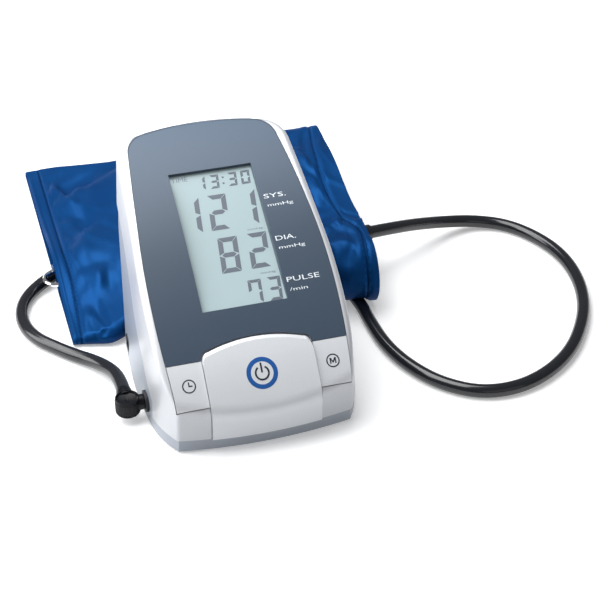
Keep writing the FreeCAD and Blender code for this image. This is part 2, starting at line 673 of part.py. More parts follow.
ribs.append(slab(valve_x - value("cradle_thick") / 2, valve_x + value("cradle_thick") / 2, cradle_front,
                 value("rear_y"), door_top, valve_low - value("cradle_gap")))
lower_core = console_form(value("lower_inset") + value("lower_wall") / 2)
for rib in ribs:
    base = base.fuse(rib.common(lower_core))
base = base.fuse(bay_box)
well_inset = value("wall") + value("seam_gap")
well_floor = slab(-wide, wide, -wide, wide, value("foot_height"), well_inset + value("lower_wall") / 2)
well_room = console_form(well_inset).fuse(well_floor)
for x, y in screw_spots:
    well = upright(value("post_outer") + 2, value("foot_height"), post_split - value("seam_gap"), x, y)
    base = base.fuse(well.common(well_room))
for x, y in screw_spots:
    base = base.cut(upright(value("screw_diameter") + 4 * value("fit"), 0, screw_tip, x, y))
    base = base.cut(upright(value("screw_head") + 4 * value("fit"), 0, seat, x, y))
for x, y in foot_spots:
    base = base.cut(upright(value("foot_diameter"), 0, foot_top, x, y))
base = base.cut(slab(-bay_half, bay_half, value("bay_front_y"), bay_back, 0, bay_top))
door_half = bay_half - value("door_lip") / 2
door_gap = value("door_gap")
base = base.cut(slab(-door_half - door_gap, door_half + door_gap, value("bay_front_y"), value("rear_y"), 0,
                     door_top + door_gap))
door = slab(-door_half, door_half, value("bay_front_y") + door_gap, value("rear_y"), value("foot_height"),
            door_top).common(lower_outer)
for number in range(3):
    y = cell_y(0) + number * 3 * value("door_thick")
    door = door.cut(slab(-door_half / 3, door_half / 3, y, y + value("door_thick"), 0,
                         value("foot_height") + value("door_thick") / 3))
part("battery_door", feature("BatteryDoor", door))

# ---------------------------------------------------------------- side sockets
wall_left = value("socket_wall") - value("base_half")
socket_inner = wall_left + value("socket_length")
socket_seat = (value("socket_y"), value("socket_height"))
barrel = value("socket_diameter") - 2 * value("socket_flange")
socket = along_x(value("socket_diameter"), wall_left - value("socket_flange"), wall_left, *socket_seat)
socket = socket.fuse(along_x(barrel, wall_left, socket_inner - 3, *socket_seat))
socket = socket.fuse(along_x(value("tube_bore") + 1, socket_inner - 3, socket_inner, *socket_seat))
nozzle_tip = wall_left - value("socket_flange") + value("nozzle_length")
socket = socket.cut(along_x(value("nozzle_diameter") + 2 * value("fit"), wall_left - 5,
                            nozzle_tip + value("fit"), *socket_seat))
socket = socket.cut(along_x(value("nozzle_bore") / 2, wall_left - 5, socket_inner + 1, *socket_seat))
part("air_socket", feature("AirSocket", socket.removeSplitter()))
base = base.cut(along_x(barrel + 2 * value("fit"), wall_left - 5, socket_inner, *socket_seat))
base = base.cut(along_x(value("socket_diameter") + 2 * value("fit"), wall_left - 5, wall_left, *socket_seat))

jack_low = door_top + value("fit")
jack_z = jack_low + value("jack_height") / 2
jack_left = value("jack_wall") - value("base_half")
jack = slab(jack_left, jack_left + value("jack_length"), value("jack_y") - value("jack_width") / 2,
            value("jack_y") + value("jack_width") / 2, jack_low, jack_low + value("jack_height"))
jack = jack.cut(along_x(value("jack_bore"), jack_left - 1, jack_left + value("jack_length") * 0.75,
                        value("jack_y"), jack_z))
jack = jack.fuse(along_x(value("jack_pin"), jack_left + 1, jack_left + value("jack_length") - 1,
                         value("jack_y"), jack_z))
part("dc_jack", feature("PowerJack", jack.removeSplitter()))
base = base.cut(slab(jack_left - value("jack_length"), jack_left + value("jack_length"),
                     value("jack_y") - value("jack_width") / 2 - value("fit"),
                     value("jack_y") + value("jack_width") / 2 + value("fit"), jack_low - value("fit"),
                     jack_low + value("jack_height") + value("fit")))
part("lower_housing", feature("LowerHousing", base.removeSplitter()))

# ---------------------------------------------------------------- pump, valve, sensor, buzzer
head_left = motor_left - value("head_length")
head_wall = value("head_wall")
shaft_hole = along_x(value("shaft_diameter") + 2 * value("fit"), motor_left - 1, motor_right - 4, *pump_axis)
part("pump_motor", feature("Motor", along_x(value("motor_diameter"), motor_left, motor_right, *pump_axis)
                           .cut(shaft_hole)))
head = along_x(value("head_diameter"), head_left, motor_left, *pump_axis)
head_bore = value("head_diameter") - 2 * head_wall
head = head.cut(along_x(head_bore, head_left + head_wall, motor_left - head_wall, *pump_axis))
head = head.cut(along_x(3 * value("shaft_diameter"), motor_left - head_wall - 1, motor_left, *pump_axis))
outlet_x = head_left + value("head_length") / 2
outlet_y = value("pump_y") - value("head_diameter") / 2 - value("port_length")
head = head.fuse(along_y(value("port_diameter"), outlet_y, outlet_y + value("port_length") + 1, outlet_x,
                         value("pump_height")))
part("pump_head", feature("Head", head.removeSplitter()))
crank_right = motor_left - head_wall - 1
crank_left = crank_right - value("crank_length")
crank = along_x(value("shaft_diameter"), crank_right - 1, motor_right - 4 - value("fit"), *pump_axis)
crank = crank.fuse(along_x(value("crank_diameter"), crank_left + 3, crank_right, *pump_axis))
crank = crank.fuse(along_x(value("shaft_diameter"), crank_left, crank_left + 4,
                           value("pump_y") + value("crank_offset"), value("pump_height")))
part("pump_crank", feature("Crank", crank.removeSplitter()))

valve_side = value("valve_side")
valve_left = "base_half + (top_half - base_half) * pump_height / top_level - valve_inset"
valve = primitive("Box", "ValveCase", Length="valve_length", Width="valve_side", Height="valve_side",
                  Placement_Base_x=valve_left, Placement_Base_y="pump_y - valve_side / 2",
                  Placement_Base_z="pump_height - valve_side / 2")
valve_bore = primitive("Cylinder", "ValveBore", ALONG_X, Radius="plunger_diameter / 2 + fit",
                       Height="valve_length * 2", Placement_Base_x=valve_left + " + plunger_travel * 2",
                       Placement_Base_y="pump_y", Placement_Base_z="pump_height")
part("valve_body", cut("Valve", valve, valve_bore))
plunger_pin = primitive("Cylinder", "PlungerPin", ALONG_X, Radius="plunger_diameter / 2",
                        Height="valve_length + plunger_reach - plunger_travel * 4",
                        Placement_Base_x=valve_left + " + plunger_travel * 4",
                        Placement_Base_y="pump_y", Placement_Base_z="pump_height")
cap_place = valve_left + " + valve_length + plunger_reach - plunger_travel"
plunger_cap = primitive("Cylinder", "PlungerCap", ALONG_X, Radius="plunger_diameter",
                        Height="plunger_travel", Placement_Base_x=cap_place,
                        Placement_Base_y="pump_y", Placement_Base_z="pump_height")
part("valve_plunger", fuse("Plunger", plunger_pin, plunger_cap))

sensor_side = value("sensor_side")
sensor = Part.makeBox(sensor_side, sensor_side, value("sensor_height"),
                      Vector(-sensor_side / 2, -sensor_side / 2, -value("sensor_height")))
sensor = sensor.fuse(Part.makeCylinder(value("port_diameter") / 2, value("port_length"),
                                       Vector(0, 0, -value("sensor_height") - value("port_length"))))
part("pressure_sensor", feature("Sensor", on_panel(sensor.removeSplitter(), -sensor_side * 2,
                                                   value("board_start") + value("board_length") / 3,
                                                   board_bottom)))
buzzer = Part.makeCylinder(value("buzzer_diameter") / 2, value("buzzer_height"),
                           Vector(0, 0, -value("buzzer_height")))
buzzer = buzzer.cut(Part.makeCylinder(value("port_diameter") / 2, 1, Vector(0, 0, -value("buzzer_height"))))
part("buzzer", feature("Buzzer", on_panel(buzzer, value("buzzer_diameter") * 1.5,
                                          value("board_start") + value("board_length") / 4, board_bottom)))

# ---------------------------------------------------------------- air line
hose_route = [
    (89.8, 72.5, 26.7), (104.5, 77.67, 23.5), (122.4, 87.0, 16.8), (142.0, 96.0, 9.0), (162.5, 98.5, 4.4),
    (181.1, 89.5, 3.6), (194.0, 68.5, 3.6), (198.6, 46.4, 3.6), (195.5, 21.0, 3.6), (185.5, -3.5, 3.6),
    (165.5, -30.0, 3.6), (138.5, -46.0, 3.6), (113.5, -47.0, 3.6), (95.0, -34.5, 3.6), (83.5, -16.3, 3.6),
    (77.3, 3.4, 3.6), (75.8, 24.1, 3.6), (76.0, 42.0, 3.6), (72.5, 60.5, 3.6), (60.5, 81.5, 3.6),
    (38.0, 99.0, 3.6), (8.0, 112.0, 3.6), (-24.0, 121.0, 3.6), (-52.0, 122.5, 3.6), (-71.0, 117.5, 3.6),
    (-85.5, 107.5, 3.6), (-95.5, 96.0, 3.6), (-99.9, 83.8, 3.6), (-99.7, 70.8, 3.6), (-94.9, 58.7, 3.6),
    (-87.0, 49.5, 3.6), (-78.8, 40.3, 3.6), (-70.0, 31.5, 4.6), (-63.6, 20.0, 7.0), (-61.0, 8.0, 9.5),
    (-61.0, -1.8, 9.5)]


def route_path(points):
    """Straight runs joined by tangent arcs, each as large as the two runs beside it allow."""
    points = [Vector(*point) for point in points]
    edges, radii, last = [], [], points[0]
    for before, corner, after in zip(points, points[1:], points[2:]):
        back, onward = before - corner, after - corner
        reach = 0.45 * min(back.Length, onward.Length)
        back.normalize()
        onward.normalize()
        half_turn = (math.pi - back.getAngle(onward)) / 2
        radius = reach / math.tan(half_turn)
        start, end = corner + back * reach, corner + onward * reach
        inward = (back + onward).normalize()
        middle = corner + inward * (radius / math.cos(half_turn) - radius)
        edges += [Part.LineSegment(last, start).toShape(), arc(start, middle, end)]
        radii.append(radius)
        last = end
    edges.append(Part.LineSegment(last, points[-1]).toShape())
    return Part.Wire(edges), radii


def tube(points, diameter):
    """Round tube along a route, and the radii of its bends."""
    path, radii = route_path(points)
    start = Vector(*points[0])
    section = Part.Wire(Part.makeCircle(diameter / 2, start, Vector(*points[1]) - start))
    return path.makePipeShell([section], True, False), radii, path.Length


hose, hose_radii, hose_length = tube(hose_route, value("hose_diameter"))
tightest = ["%.0f" % radius for radius in sorted(hose_radii)[:6]]
print("hose length %.1f, tightest bends %s" % (hose_length, tightest))
print("hose volume over section times length: %.4f"
      % (hose.Volume / (math.pi * (value("hose_diameter") / 2) ** 2 * hose_length)))
part("air_hose", feature("Hose", hose))

drum_x, drum_low = value("drum_x"), value("socket_height") - value("drum_height") / 2
drum = upright(value("drum_diameter"), drum_low, drum_low + value("drum_height"), drum_x, value("socket_y"))
dish_radius = (value("drum_diameter") / 2) ** 2 / (2 * value("drum_dish")) + value("drum_dish") / 2
drum = drum.cut(Part.makeSphere(dish_radius * 0.9, Vector(
    drum_x, value("socket_y"), drum_low + value("drum_height") - value("drum_dish") + dish_radius * 0.9)))
drum = drum.fuse(along_y(value("neck_diameter"), value("socket_y"), hose_route[-1][1], drum_x,
                         value("socket_height")))
drum = drum.fuse(along_x(value("neck_diameter"), drum_x, wall_left - value("socket_flange") - value("fit"),
                         *socket_seat))
part("air_plug", feature("Plug", drum.removeSplitter().cut(along_x(
    value("nozzle_diameter"), wall_left - value("socket_flange") - 4, nozzle_tip, *socket_seat))))
part("plug_nozzle", feature("Nozzle", along_x(
    value("nozzle_diameter"), wall_left - value("socket_flange") - 4, nozzle_tip, *socket_seat).cut(
    along_x(value("nozzle_bore"), -wide, wide, *socket_seat))))

inner_route = [
    (outlet_x, outlet_y, value("pump_height")), (outlet_x, outlet_y - 9, value("pump_height")),
    (-30.0, 5.0, 34.0), (-36.6, -5.0, 26.0), (-36.2, -10.0, 16.5), (-36.8, -12.5, 9.5),
    (socket_inner, value("socket_y"), value("socket_height"))]
inner_tube, inner_radii, inner_length = tube(inner_route, value("tube_diameter"))
part("inner_air_tube", feature("InnerTube", inner_tube))

# ---------------------------------------------------------------- cuff
# left edge, front, back, height, what the top gains near the front and the back, and how far the
# section slants to the right for each millimetre to the back
cuff_stations = [
    (value("cuff_left"), 52.0, 223.0, 4.6, 8.8, 0.4, 0.0), (-63.5, 46.5, 219.0, 9.0, 6.0, 0.8, 0.0),
    (-48.0, 50.5, 213.0, 12.5, 4.0, 1.2, 0.0), (-28.0, 53.0, 206.5, 16.3, 1.5, 1.6, 0.0),
    (12.0, 57.0, 200.0, 24.5, 0.0, 1.8, 0.0), (46.0, 58.0, 194.0, 31.0, -1.0, 1.8, 0.0),
    (66.0, 45.0, 190.0, 34.5, -1.5, 1.8, 0.0), (value("cuff_right"), 34.5, 187.0, 36.8, -2.5, 1.8, 0.053)]
fold_near, fold_far = 0.37, 0.72


def cuff_section(x, front, back, tall, near, far, slant, inset):
    """Flattened tube seen along the arm: flat below, round at both folds, wavy on top."""
    half, top = tall / 2, tall - inset

    def at(y, z):
        return Vector(x + slant * (y - front), y, z)

    low_front, low_back = at(front + half, inset), at(back - half, inset)
    high_front, high_back = at(front + half, top), at(back - half, top)
    span = high_back - high_front
    level = Vector(slant * half, half, 0)
    wave = Part.BSplineCurve()
    wave.interpolate(Points=[high_front, high_front + span * fold_near + Vector(0, 0, near),
                             high_front + span * fold_far + Vector(0, 0, far), high_back],
                     InitialTangent=level, FinalTangent=level)
    return Part.Wire([arc(low_front, at(front + inset, half), high_front), wave.toShape(),
                      arc(high_back, at(back - inset, half), low_back),
                      Part.LineSegment(low_back, low_front).toShape()])


def between(stations, x):
    """Cuff outline at any x, in a straight line between its stations."""
    for before, after in zip(stations, stations[1:]):
        if x <= after[0]:
            break
    share = (x - before[0]) / (after[0] - before[0])
    return tuple(low + (high - low) * share for low, high in zip(before, after))


def cuff_body(inset, left, right):
    """The cuff's closed form, moved inwards by inset, from one x to another."""
    inside = [station for station in cuff_stations if left < station[0] < right]
    stations = [between(cuff_stations, left)] + inside + [between(cuff_stations, right)]
    return Part.makeLoft([cuff_section(*station, inset) for station in stations], True, True)


def hose_room(gap):
    """Room that the cuff leaves for the stretch of hose that it lies on."""
    width = value("hose_diameter") + 2 * value("hose_tunnel") + 2 * gap
    return tube(hose_route[15:29], width)[0]


def cuff_layer(outer_inset, inner_inset, left, right):
    """One layer of the cuff, lifted over the hose, hemmed at the left and open at the right."""
    skin = cuff_body(outer_inset, left, right).cut(hose_room(outer_inset))
    hollow_left = left + inner_inset - outer_inset + value("cuff_hem")
    hollow = cuff_body(inner_inset, hollow_left, right).cut(hose_room(inner_inset))
    return skin.cut(hollow)


hose_start, hose_aim = Vector(*hose_route[0]), Vector(*hose_route[1]) - Vector(*hose_route[0])
hose_aim.normalize()


def collar_bar(diameter, start, end):
    """Round bar in line with the first run of the hose, measured back from the hose's end."""
    return Part.makeCylinder(diameter / 2, end - start, hose_start + hose_aim * start, hose_aim)


collar_room = collar_bar(value("collar_diameter") + 4 * value("fit"), -value("collar_length") - 1, 0)
sleeve_in = value("sleeve_thick")
bladder_out = sleeve_in + value("layer_gap")
bladder_in = bladder_out + value("bladder_thick")
lining_out = bladder_in + value("layer_gap")
lining_in = lining_out + value("lining_thick")


def ring_shape(gap):
    """Oblong loop of eight-sided bar that the closing tail runs through, grown by gap."""
    bar, low = value("ring_bar") + 2 * gap, value("ring_height") - value("ring_bar") / 2 - gap

    def oblong(inset):
        half = value("ring_width") / 2 - inset
        block = slab(value("ring_left") + inset, value("ring_right") - inset, value("ring_y") - half,
                     value("ring_y") + half, low, low + bar)
        corners = [edge for edge in block.Edges if edge.BoundBox.ZLength > bar / 2]
        return block.makeFillet(half * 0.98, corners)

    loop = oblong(-gap).cut(oblong(value("ring_bar") + gap))
    rims = [edge for edge in loop.Edges if edge.BoundBox.ZLength < bar / 2]
    return loop.makeChamfer(bar * 0.29, rims)


sleeve = cuff_layer(0, sleeve_in, value("cuff_left"), value("cuff_right"))
sleeve = sleeve.cut(collar_room).cut(ring_shape(value("layer_gap")))
part("cuff_sleeve", feature("Sleeve", sleeve))
bladder = cuff_body(bladder_out, value("bladder_left"), value("bladder_right")).cut(hose_room(bladder_out))
bladder = bladder.cut(cuff_body(bladder_in, value("bladder_left"), value("bladder_right")).cut(
    hose_room(bladder_in)))
part("cuff_bladder", feature("Bladder", bladder.cut(collar_room)))
lining = cuff_body(lining_out, value("bladder_left"), value("cuff_right")).cut(hose_room(lining_out))
arm_room = cuff_body(lining_in, value("bladder_left"), value("cuff_right")).cut(hose_room(lining_in))
lining = lining.cut(arm_room)
part("cuff_lining", feature("Lining", lining.cut(collar_room)))
part("cuff_ring", feature("Ring", ring_shape(0)))
collar = collar_bar(value("collar_diameter"), -value("collar_length"), 0).cut(
    collar_bar(value("nozzle_bore"), -value("collar_length") - 1, -value("nozzle_bore")))
part("hose_collar", feature("Collar", collar))

# ---------------------------------------------------------------- checks and export
doc.recompute()
for thing in doc.Objects:
    broken = [state for state in thing.State if state in ("Invalid", "Error")]
    if broken:
        raise RuntimeError("%s is %s" % (thing.Label, broken))
for thing in parts:
    if thing.Shape.isNull() or not thing.Shape.isValid() or not thing.Shape.Solids:
        raise RuntimeError("%s has no sound shape" % thing.Label)
os.makedirs("parts", exist_ok=True)
for thing in parts:
    thing.Shape.exportStep("parts/%s.step" % thing.Label)
print("%d parts written" % len(parts))
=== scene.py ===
import bmesh
import bpy
import numpy as np
from mathutils import Matrix, Vector


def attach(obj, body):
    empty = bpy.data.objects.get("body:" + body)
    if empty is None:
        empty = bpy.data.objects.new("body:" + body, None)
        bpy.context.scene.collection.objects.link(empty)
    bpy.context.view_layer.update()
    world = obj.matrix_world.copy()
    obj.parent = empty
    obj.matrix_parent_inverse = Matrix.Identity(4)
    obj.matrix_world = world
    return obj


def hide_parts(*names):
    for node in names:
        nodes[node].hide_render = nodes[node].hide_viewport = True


# Desk blood pressure monitor with its arm cuff and air hose: the looks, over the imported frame.
# Lengths in the dictionaries are millimetres, in the frame's own axes.

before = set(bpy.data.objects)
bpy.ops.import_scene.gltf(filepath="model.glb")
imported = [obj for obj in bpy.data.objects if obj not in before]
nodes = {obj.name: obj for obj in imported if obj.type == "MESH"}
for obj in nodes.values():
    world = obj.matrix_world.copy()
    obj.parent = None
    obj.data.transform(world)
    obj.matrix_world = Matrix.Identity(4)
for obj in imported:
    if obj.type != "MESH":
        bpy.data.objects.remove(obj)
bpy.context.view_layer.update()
mm = 0.001


# camera, floor and light

view = dict(place=(-146.0, -609.0, 515.5), forward=(0.2231, 0.7714, -0.5959), lens=96.06, sensor=36.0,
            nearest=10.0, farthest=30000.0)
floorPlan = dict(half=2600.0, drop=0.05, tone=(0.84, 0.845, 0.855), glow=0.30)
lamps = [
    dict(name="topBox", place=(-210, 210, 860), aim=(0, 20, 30), size=(900, 700), power=12.2),
    dict(name="leftBox", place=(-760, 160, 440), aim=(0, 0, 40), size=(500, 700), power=5.6),
    dict(name="frontFill", place=(300, -900, 420), aim=(0, 0, 40), size=(900, 500), power=0.5),
]
room = dict(tone=(0.97, 0.98, 1.0), strength=0.24)


def lookAlong(direction):
    # turn that points an object's -Z along the direction, with its top upwards
    return Vector(direction).to_track_quat("-Z", "Y").to_matrix().to_4x4()


def makeCamera():
    data = bpy.data.cameras.new("frontCamera")
    data.lens = view["lens"]
    data.sensor_width = view["sensor"]
    data.clip_start, data.clip_end = view["nearest"] * mm, view["farthest"] * mm
    camera = bpy.data.objects.new("frontCamera", data)
    camera.matrix_world = Matrix.Translation(Vector(view["place"]) * mm) @ lookAlong(view["forward"])
    bpy.context.scene.collection.objects.link(camera)
    bpy.context.scene.camera = camera


def makeLights():
    for lamp in lamps:
        data = bpy.data.lights.new(lamp["name"], "AREA")
        data.shape = "RECTANGLE"
        data.size, data.size_y = lamp["size"][0] * mm, lamp["size"][1] * mm
        data.energy = lamp["power"]
        thing = bpy.data.objects.new(lamp["name"], data)
        place, aim = Vector(lamp["place"]) * mm, Vector(lamp["aim"]) * mm
        thing.matrix_world = Matrix.Translation(place) @ lookAlong(aim - place)
        bpy.context.scene.collection.objects.link(thing)
    world = bpy.data.worlds.new("paleRoom")
    world.use_nodes = True
    bpy.context.scene.view_settings.view_transform = "Standard"
    sky = world.node_tree.nodes["Background"]
    sky.inputs["Color"].default_value = (*room["tone"], 1)
    sky.inputs["Strength"].default_value = room["strength"]
    bpy.context.scene.world = world


# shader arithmetic: a wire is one socket, and expressions on wires add nodes

class Wire:
    def __init__(self, tree, socket=None):
        self.tree = tree
        self.socket = socket

    def node(self, kind, settings=None, inputs=None, output=0):
        made = self.tree.nodes.new("ShaderNode" + kind)
        for name, setting in (settings or {}).items():
            setattr(made, name, setting)
        for name, given in (inputs or {}).items():
            if isinstance(given, Wire):
                self.tree.links.new(given.socket, made.inputs[name])
            else:
                made.inputs[name].default_value = given
        return Wire(self.tree, made.outputs[output])

    def maths(self, operation, *values):
        return self.node("Math", {"operation": operation}, dict(enumerate(values)))

    def __add__(self, other):
        return self.maths("ADD", self, other)

    def __radd__(self, other):
        return self.maths("ADD", other, self)

    def __sub__(self, other):
        return self.maths("SUBTRACT", self, other)

    def __rsub__(self, other):
        return self.maths("SUBTRACT", other, self)

    def __mul__(self, other):
        return self.maths("MULTIPLY", self, other)

    def __rmul__(self, other):
        return self.maths("MULTIPLY", other, self)

    def sine(self):
        return self.maths("SINE", self)

    def above(self, edge, soft):
        # 0 below the edge, 1 above it, with a soft step between
        return self.node("MapRange", {"interpolation_type": "SMOOTHSTEP"},
                         {"Value": self, "From Min": edge - soft, "From Max": edge + soft})

    def axis(self, letter):
        return self.node("SeparateXYZ", None, {0: self}, "XYZ".index(letter))

    def noise(self, scale, detail=2.0, rough=0.5):
        return self.node("TexNoise", None, {"Vector": self, "Scale": scale, "Detail": detail, "Roughness": rough})

    def blendTones(self, low, high):
        # colour that goes from low to high as this wire goes from 0 to 1
        tones = [tone if isinstance(tone, Wire) else (*tone, 1) for tone in (low, high)]
        return self.node("Mix", {"data_type": "RGBA"}, {0: self, 6: tones[0], 7: tones[1]}, 2)

    def bump(self, strength, depth):
        # surface normal from this wire as a height; depth in millimetres
        return self.node("Bump", None, {"Height": self, "Strength": strength, "Distance": depth * mm})


def finish(name, constants, varying):
    # one material: constants are set on the shader's sockets; varying gives the wires that feed it, made from a
    # wire of places on the object
    material = bpy.data.materials.new(name)
    material.use_nodes = True
    shader = material.node_tree.nodes["Principled BSDF"]
    for socket, number in constants.items():
        shader.inputs[socket].default_value = number
    place = Wire(material.node_tree).node("TexCoord", None, None, "Object")
    for socket, wire in varying(place).items():
        material.node_tree.links.new(wire.socket, shader.inputs[socket])
    return material


def shade(tone, share):
    # the tone made darker or lighter
    return tuple(channel * share for channel in tone)


# finishes

def silverPaint(name, tone, rough):
    # metallic lacquer: fine flake, slow clouds in the gloss, a trace of orange peel
    def varying(place):
        flake = place.noise(2600.0, 1.0)
        cloud = place.noise(24.0, 3.0)
        peel = place.noise(700.0, 2.0)
        return {"Base Color": (flake * 0.7 + cloud * 0.3).blendTones(shade(tone, 0.9), shade(tone, 1.08)),
                "Roughness": cloud * 0.08 + (rough - 0.04) + flake * 0.03,
                "Normal": (peel * 0.6 + flake * 0.4).bump(0.12, 0.02)}
    return finish(name, {"Metallic": 0.30, "Coat Weight": 0.18, "Coat Roughness": 0.16}, varying)


def mattePlastic(name, tone, rough, grain=900.0, depth=0.03, shine=0.28):
    # spark-eroded moulding: fine even grain and slightly rubbed patches
    def varying(place):
        texture = place.noise(grain, 2.0)
        rubbed = place.noise(30.0, 3.0)
        return {"Base Color": rubbed.blendTones(shade(tone, 0.88), shade(tone, 1.12)),
                "Roughness": rubbed * 0.12 + (rough - 0.06),
                "Normal": texture.bump(0.25, depth)}
    return finish(name, {"Specular IOR Level": shine}, varying)


def slateWindow():
    # printed window: its colour lighter towards its crown, a painted shade of the light from above; satin, with faint
    # fine strokes
    light, dark = (0.088, 0.125, 0.178), (0.042, 0.064, 0.096)

    def varying(place):
        # painted shade: darker low on the face and lighter towards the crown, where the top light falls
        crownLight = place.axis("Y").above(0.052, 0.045)
        stroke = place.node("Mapping", None, {"Vector": place, "Scale": (1.0, 0.12, 0.12)}).noise(900.0, 2.0)
        cloud = place.noise(16.0, 2.0)
        return {"Base Color": (crownLight * 0.94 + stroke * 0.06).blendTones(dark, light),
                "Roughness": 0.34 + cloud * 0.10 + stroke * 0.04,
                "Normal": stroke.bump(0.06, 0.01)}
    return finish("slateWindow", {"Specular IOR Level": 0.35}, varying)


def liquidCrystal():
    # reflective display: pale green-blue with a fine grain and slow clouds
    def varying(place):
        grain = place.noise(3000.0, 1.0)
        cloud = place.noise(20.0, 2.0)
        return {"Base Color": (grain * 0.4 + cloud * 0.6).blendTones((0.31, 0.405, 0.425), (0.37, 0.475, 0.495)),
                "Roughness": 0.34 + cloud * 0.05}
    return finish("liquidCrystal", {"Specular IOR Level": 0.4, "Coat Weight": 0.15, "Coat Roughness": 0.04}, varying)


def ink(name, tone, rough=0.4, glow=0.0):
    # thin print: slightly uneven cover
    def varying(place):
        cover = place.noise(1500.0, 2.0)
        return {"Base Color": cover.blendTones(shade(tone, 0.92), shade(tone, 1.08)),
                "Roughness": rough - 0.03 + cover * 0.06}
    return finish(name, {"Emission Color": (1, 1, 1, 1), "Emission Strength": glow}, varying)


def rubber(name, tone, rough):
    # smooth extruded rubber: a faint cloud, and dust that dulls the gloss here and there
    def varying(place):
        cloud = place.noise(45.0, 3.0)
        dust = place.noise(1600.0, 2.0)
        return {"Base Color": cloud.blendTones(shade(tone, 0.8), shade(tone, 1.25)),
                "Roughness": rough - 0.05 + cloud * 0.08 + dust * 0.04,
                "Normal": dust.bump(0.05, 0.01)}
    return finish(name, {"Specular IOR Level": 0.6}, varying)


def metal(name, tone, rough, brushed=0.0):
    # plated metal: fine drawn lines along X when brushed
    def varying(place):
        lines = place.node("Mapping", None, {"Vector": place, "Scale": (0.05, 1.0, 1.0)}).noise(2500.0, 2.0)
        smear = place.noise(60.0, 2.0)
        return {"Base Color": smear.blendTones(shade(tone, 0.94), shade(tone, 1.04)),
                "Roughness": rough + lines * brushed + smear * 0.04,
                "Normal": lines.bump(0.1 if brushed else 0.02, 0.005)}
    return finish(name, {"Metallic": 1.0}, varying)


def circuitBoard():
    # green solder mask over copper tracks
    def varying(place):
        tracks = (place.axis("X") * 2500.0).sine().above(0.6, 0.1)
        cloud = place.noise(300.0, 2.0)
        return {"Base Color": (tracks * cloud).blendTones((0.012, 0.09, 0.045), (0.05, 0.22, 0.10)),
                "Roughness": 0.30 + cloud * 0.1}
    return finish("circuitBoard", {"Coat Weight": 0.4}, varying)


def milkyTube():
    # milky silicone with a slow cloud
    def varying(place):
        cloud = place.noise(120.0, 2.0)
        return {"Base Color": cloud.blendTones((0.55, 0.56, 0.54), (0.72, 0.73, 0.70)),
                "Roughness": 0.32 + cloud * 0.1}
    return finish("milkyTube", {"Subsurface Weight": 0.2}, varying)


def cellJacket():
    # plain printed sleeve with a lighter band at one end
    def varying(place):
        band = place.axis("X").above(0.008, 0.0003)
        scuff = place.noise(180.0, 3.0)
        return {"Base Color": band.blendTones((0.03, 0.032, 0.04), (0.42, 0.30, 0.16)),
                "Roughness": 0.25 + scuff * 0.15}
    return finish("cellJacket", {"Metallic": 0.5, "Coat Weight": 0.3}, varying)


# thread and stitch: metres from one to the next; the others: millimetres from the seam and how soft the edge is
clothLook = dict(thread=0.00042, stitch=0.0024, crease=(0.30, 0.18), stitchOn=(0.95, 0.15), stitchOff=(1.45, 0.15))


def wovenNylon(name, tone, gleam, seamed=False):
    # plain weave in the cloth's own lengths (UV in metres): warp over weft, slubs, pressed and faded patches that
    # lighten towards a painted sheen tone; along a seam painted shade darkens the crease, with short stitches beside
    # it
    threads, stitches = (2 * np.pi / clothLook[kind] for kind in ("thread", "stitch"))

    def varying(place):
        cloth = place.node("TexCoord", None, None, "UV")
        warp = (cloth.axis("X") * threads).sine()
        weft = (cloth.axis("Y") * threads).sine()
        weave = warp * weft * 0.5 + 0.5
        fadeAndSheen = place.noise(28.0, 3.0, 0.6)
        slub = cloth.noise(1400.0, 2.0)
        # painted sheen: the mottled patches run from a darkened tone up to the gleam tone
        wearAndSheen = fadeAndSheen * 0.62 + slub * 0.16 + weave * 0.22
        colour = wearAndSheen.blendTones(shade(tone, 0.72), gleam)
        height = weave * 0.7 + slub * 0.3
        if seamed:
            gap = place.node("Attribute", {"attribute_name": "seamGap"}, None, "Fac")
            crease = 1.0 - gap.above(*clothLook["crease"])
            dash = (cloth.axis("X") * stitches).sine().above(-0.1, 0.25)
            stitch = gap.above(*clothLook["stitchOn"]) * (1.0 - gap.above(*clothLook["stitchOff"])) * dash
            # painted shade in the seam's crease: the colour is darkened most of the way to a deep tone of the cloth
            colour = (crease * 0.85).blendTones(colour, shade(tone, 0.15))
            colour = (stitch * 0.55).blendTones(colour, shade(gleam, 1.35))
            height = height + stitch * 2.0 - crease * 1.5
        return {"Base Color": colour,
                "Roughness": 0.36 + fadeAndSheen * 0.12 - weave * 0.05,
                "Normal": height.bump(0.35, 0.05)}
    return finish(name, {"Metallic": 0.34, "Specular IOR Level": 0.12, "Specular Tint": (0.20, 0.55, 1.0, 1)},
                  varying)


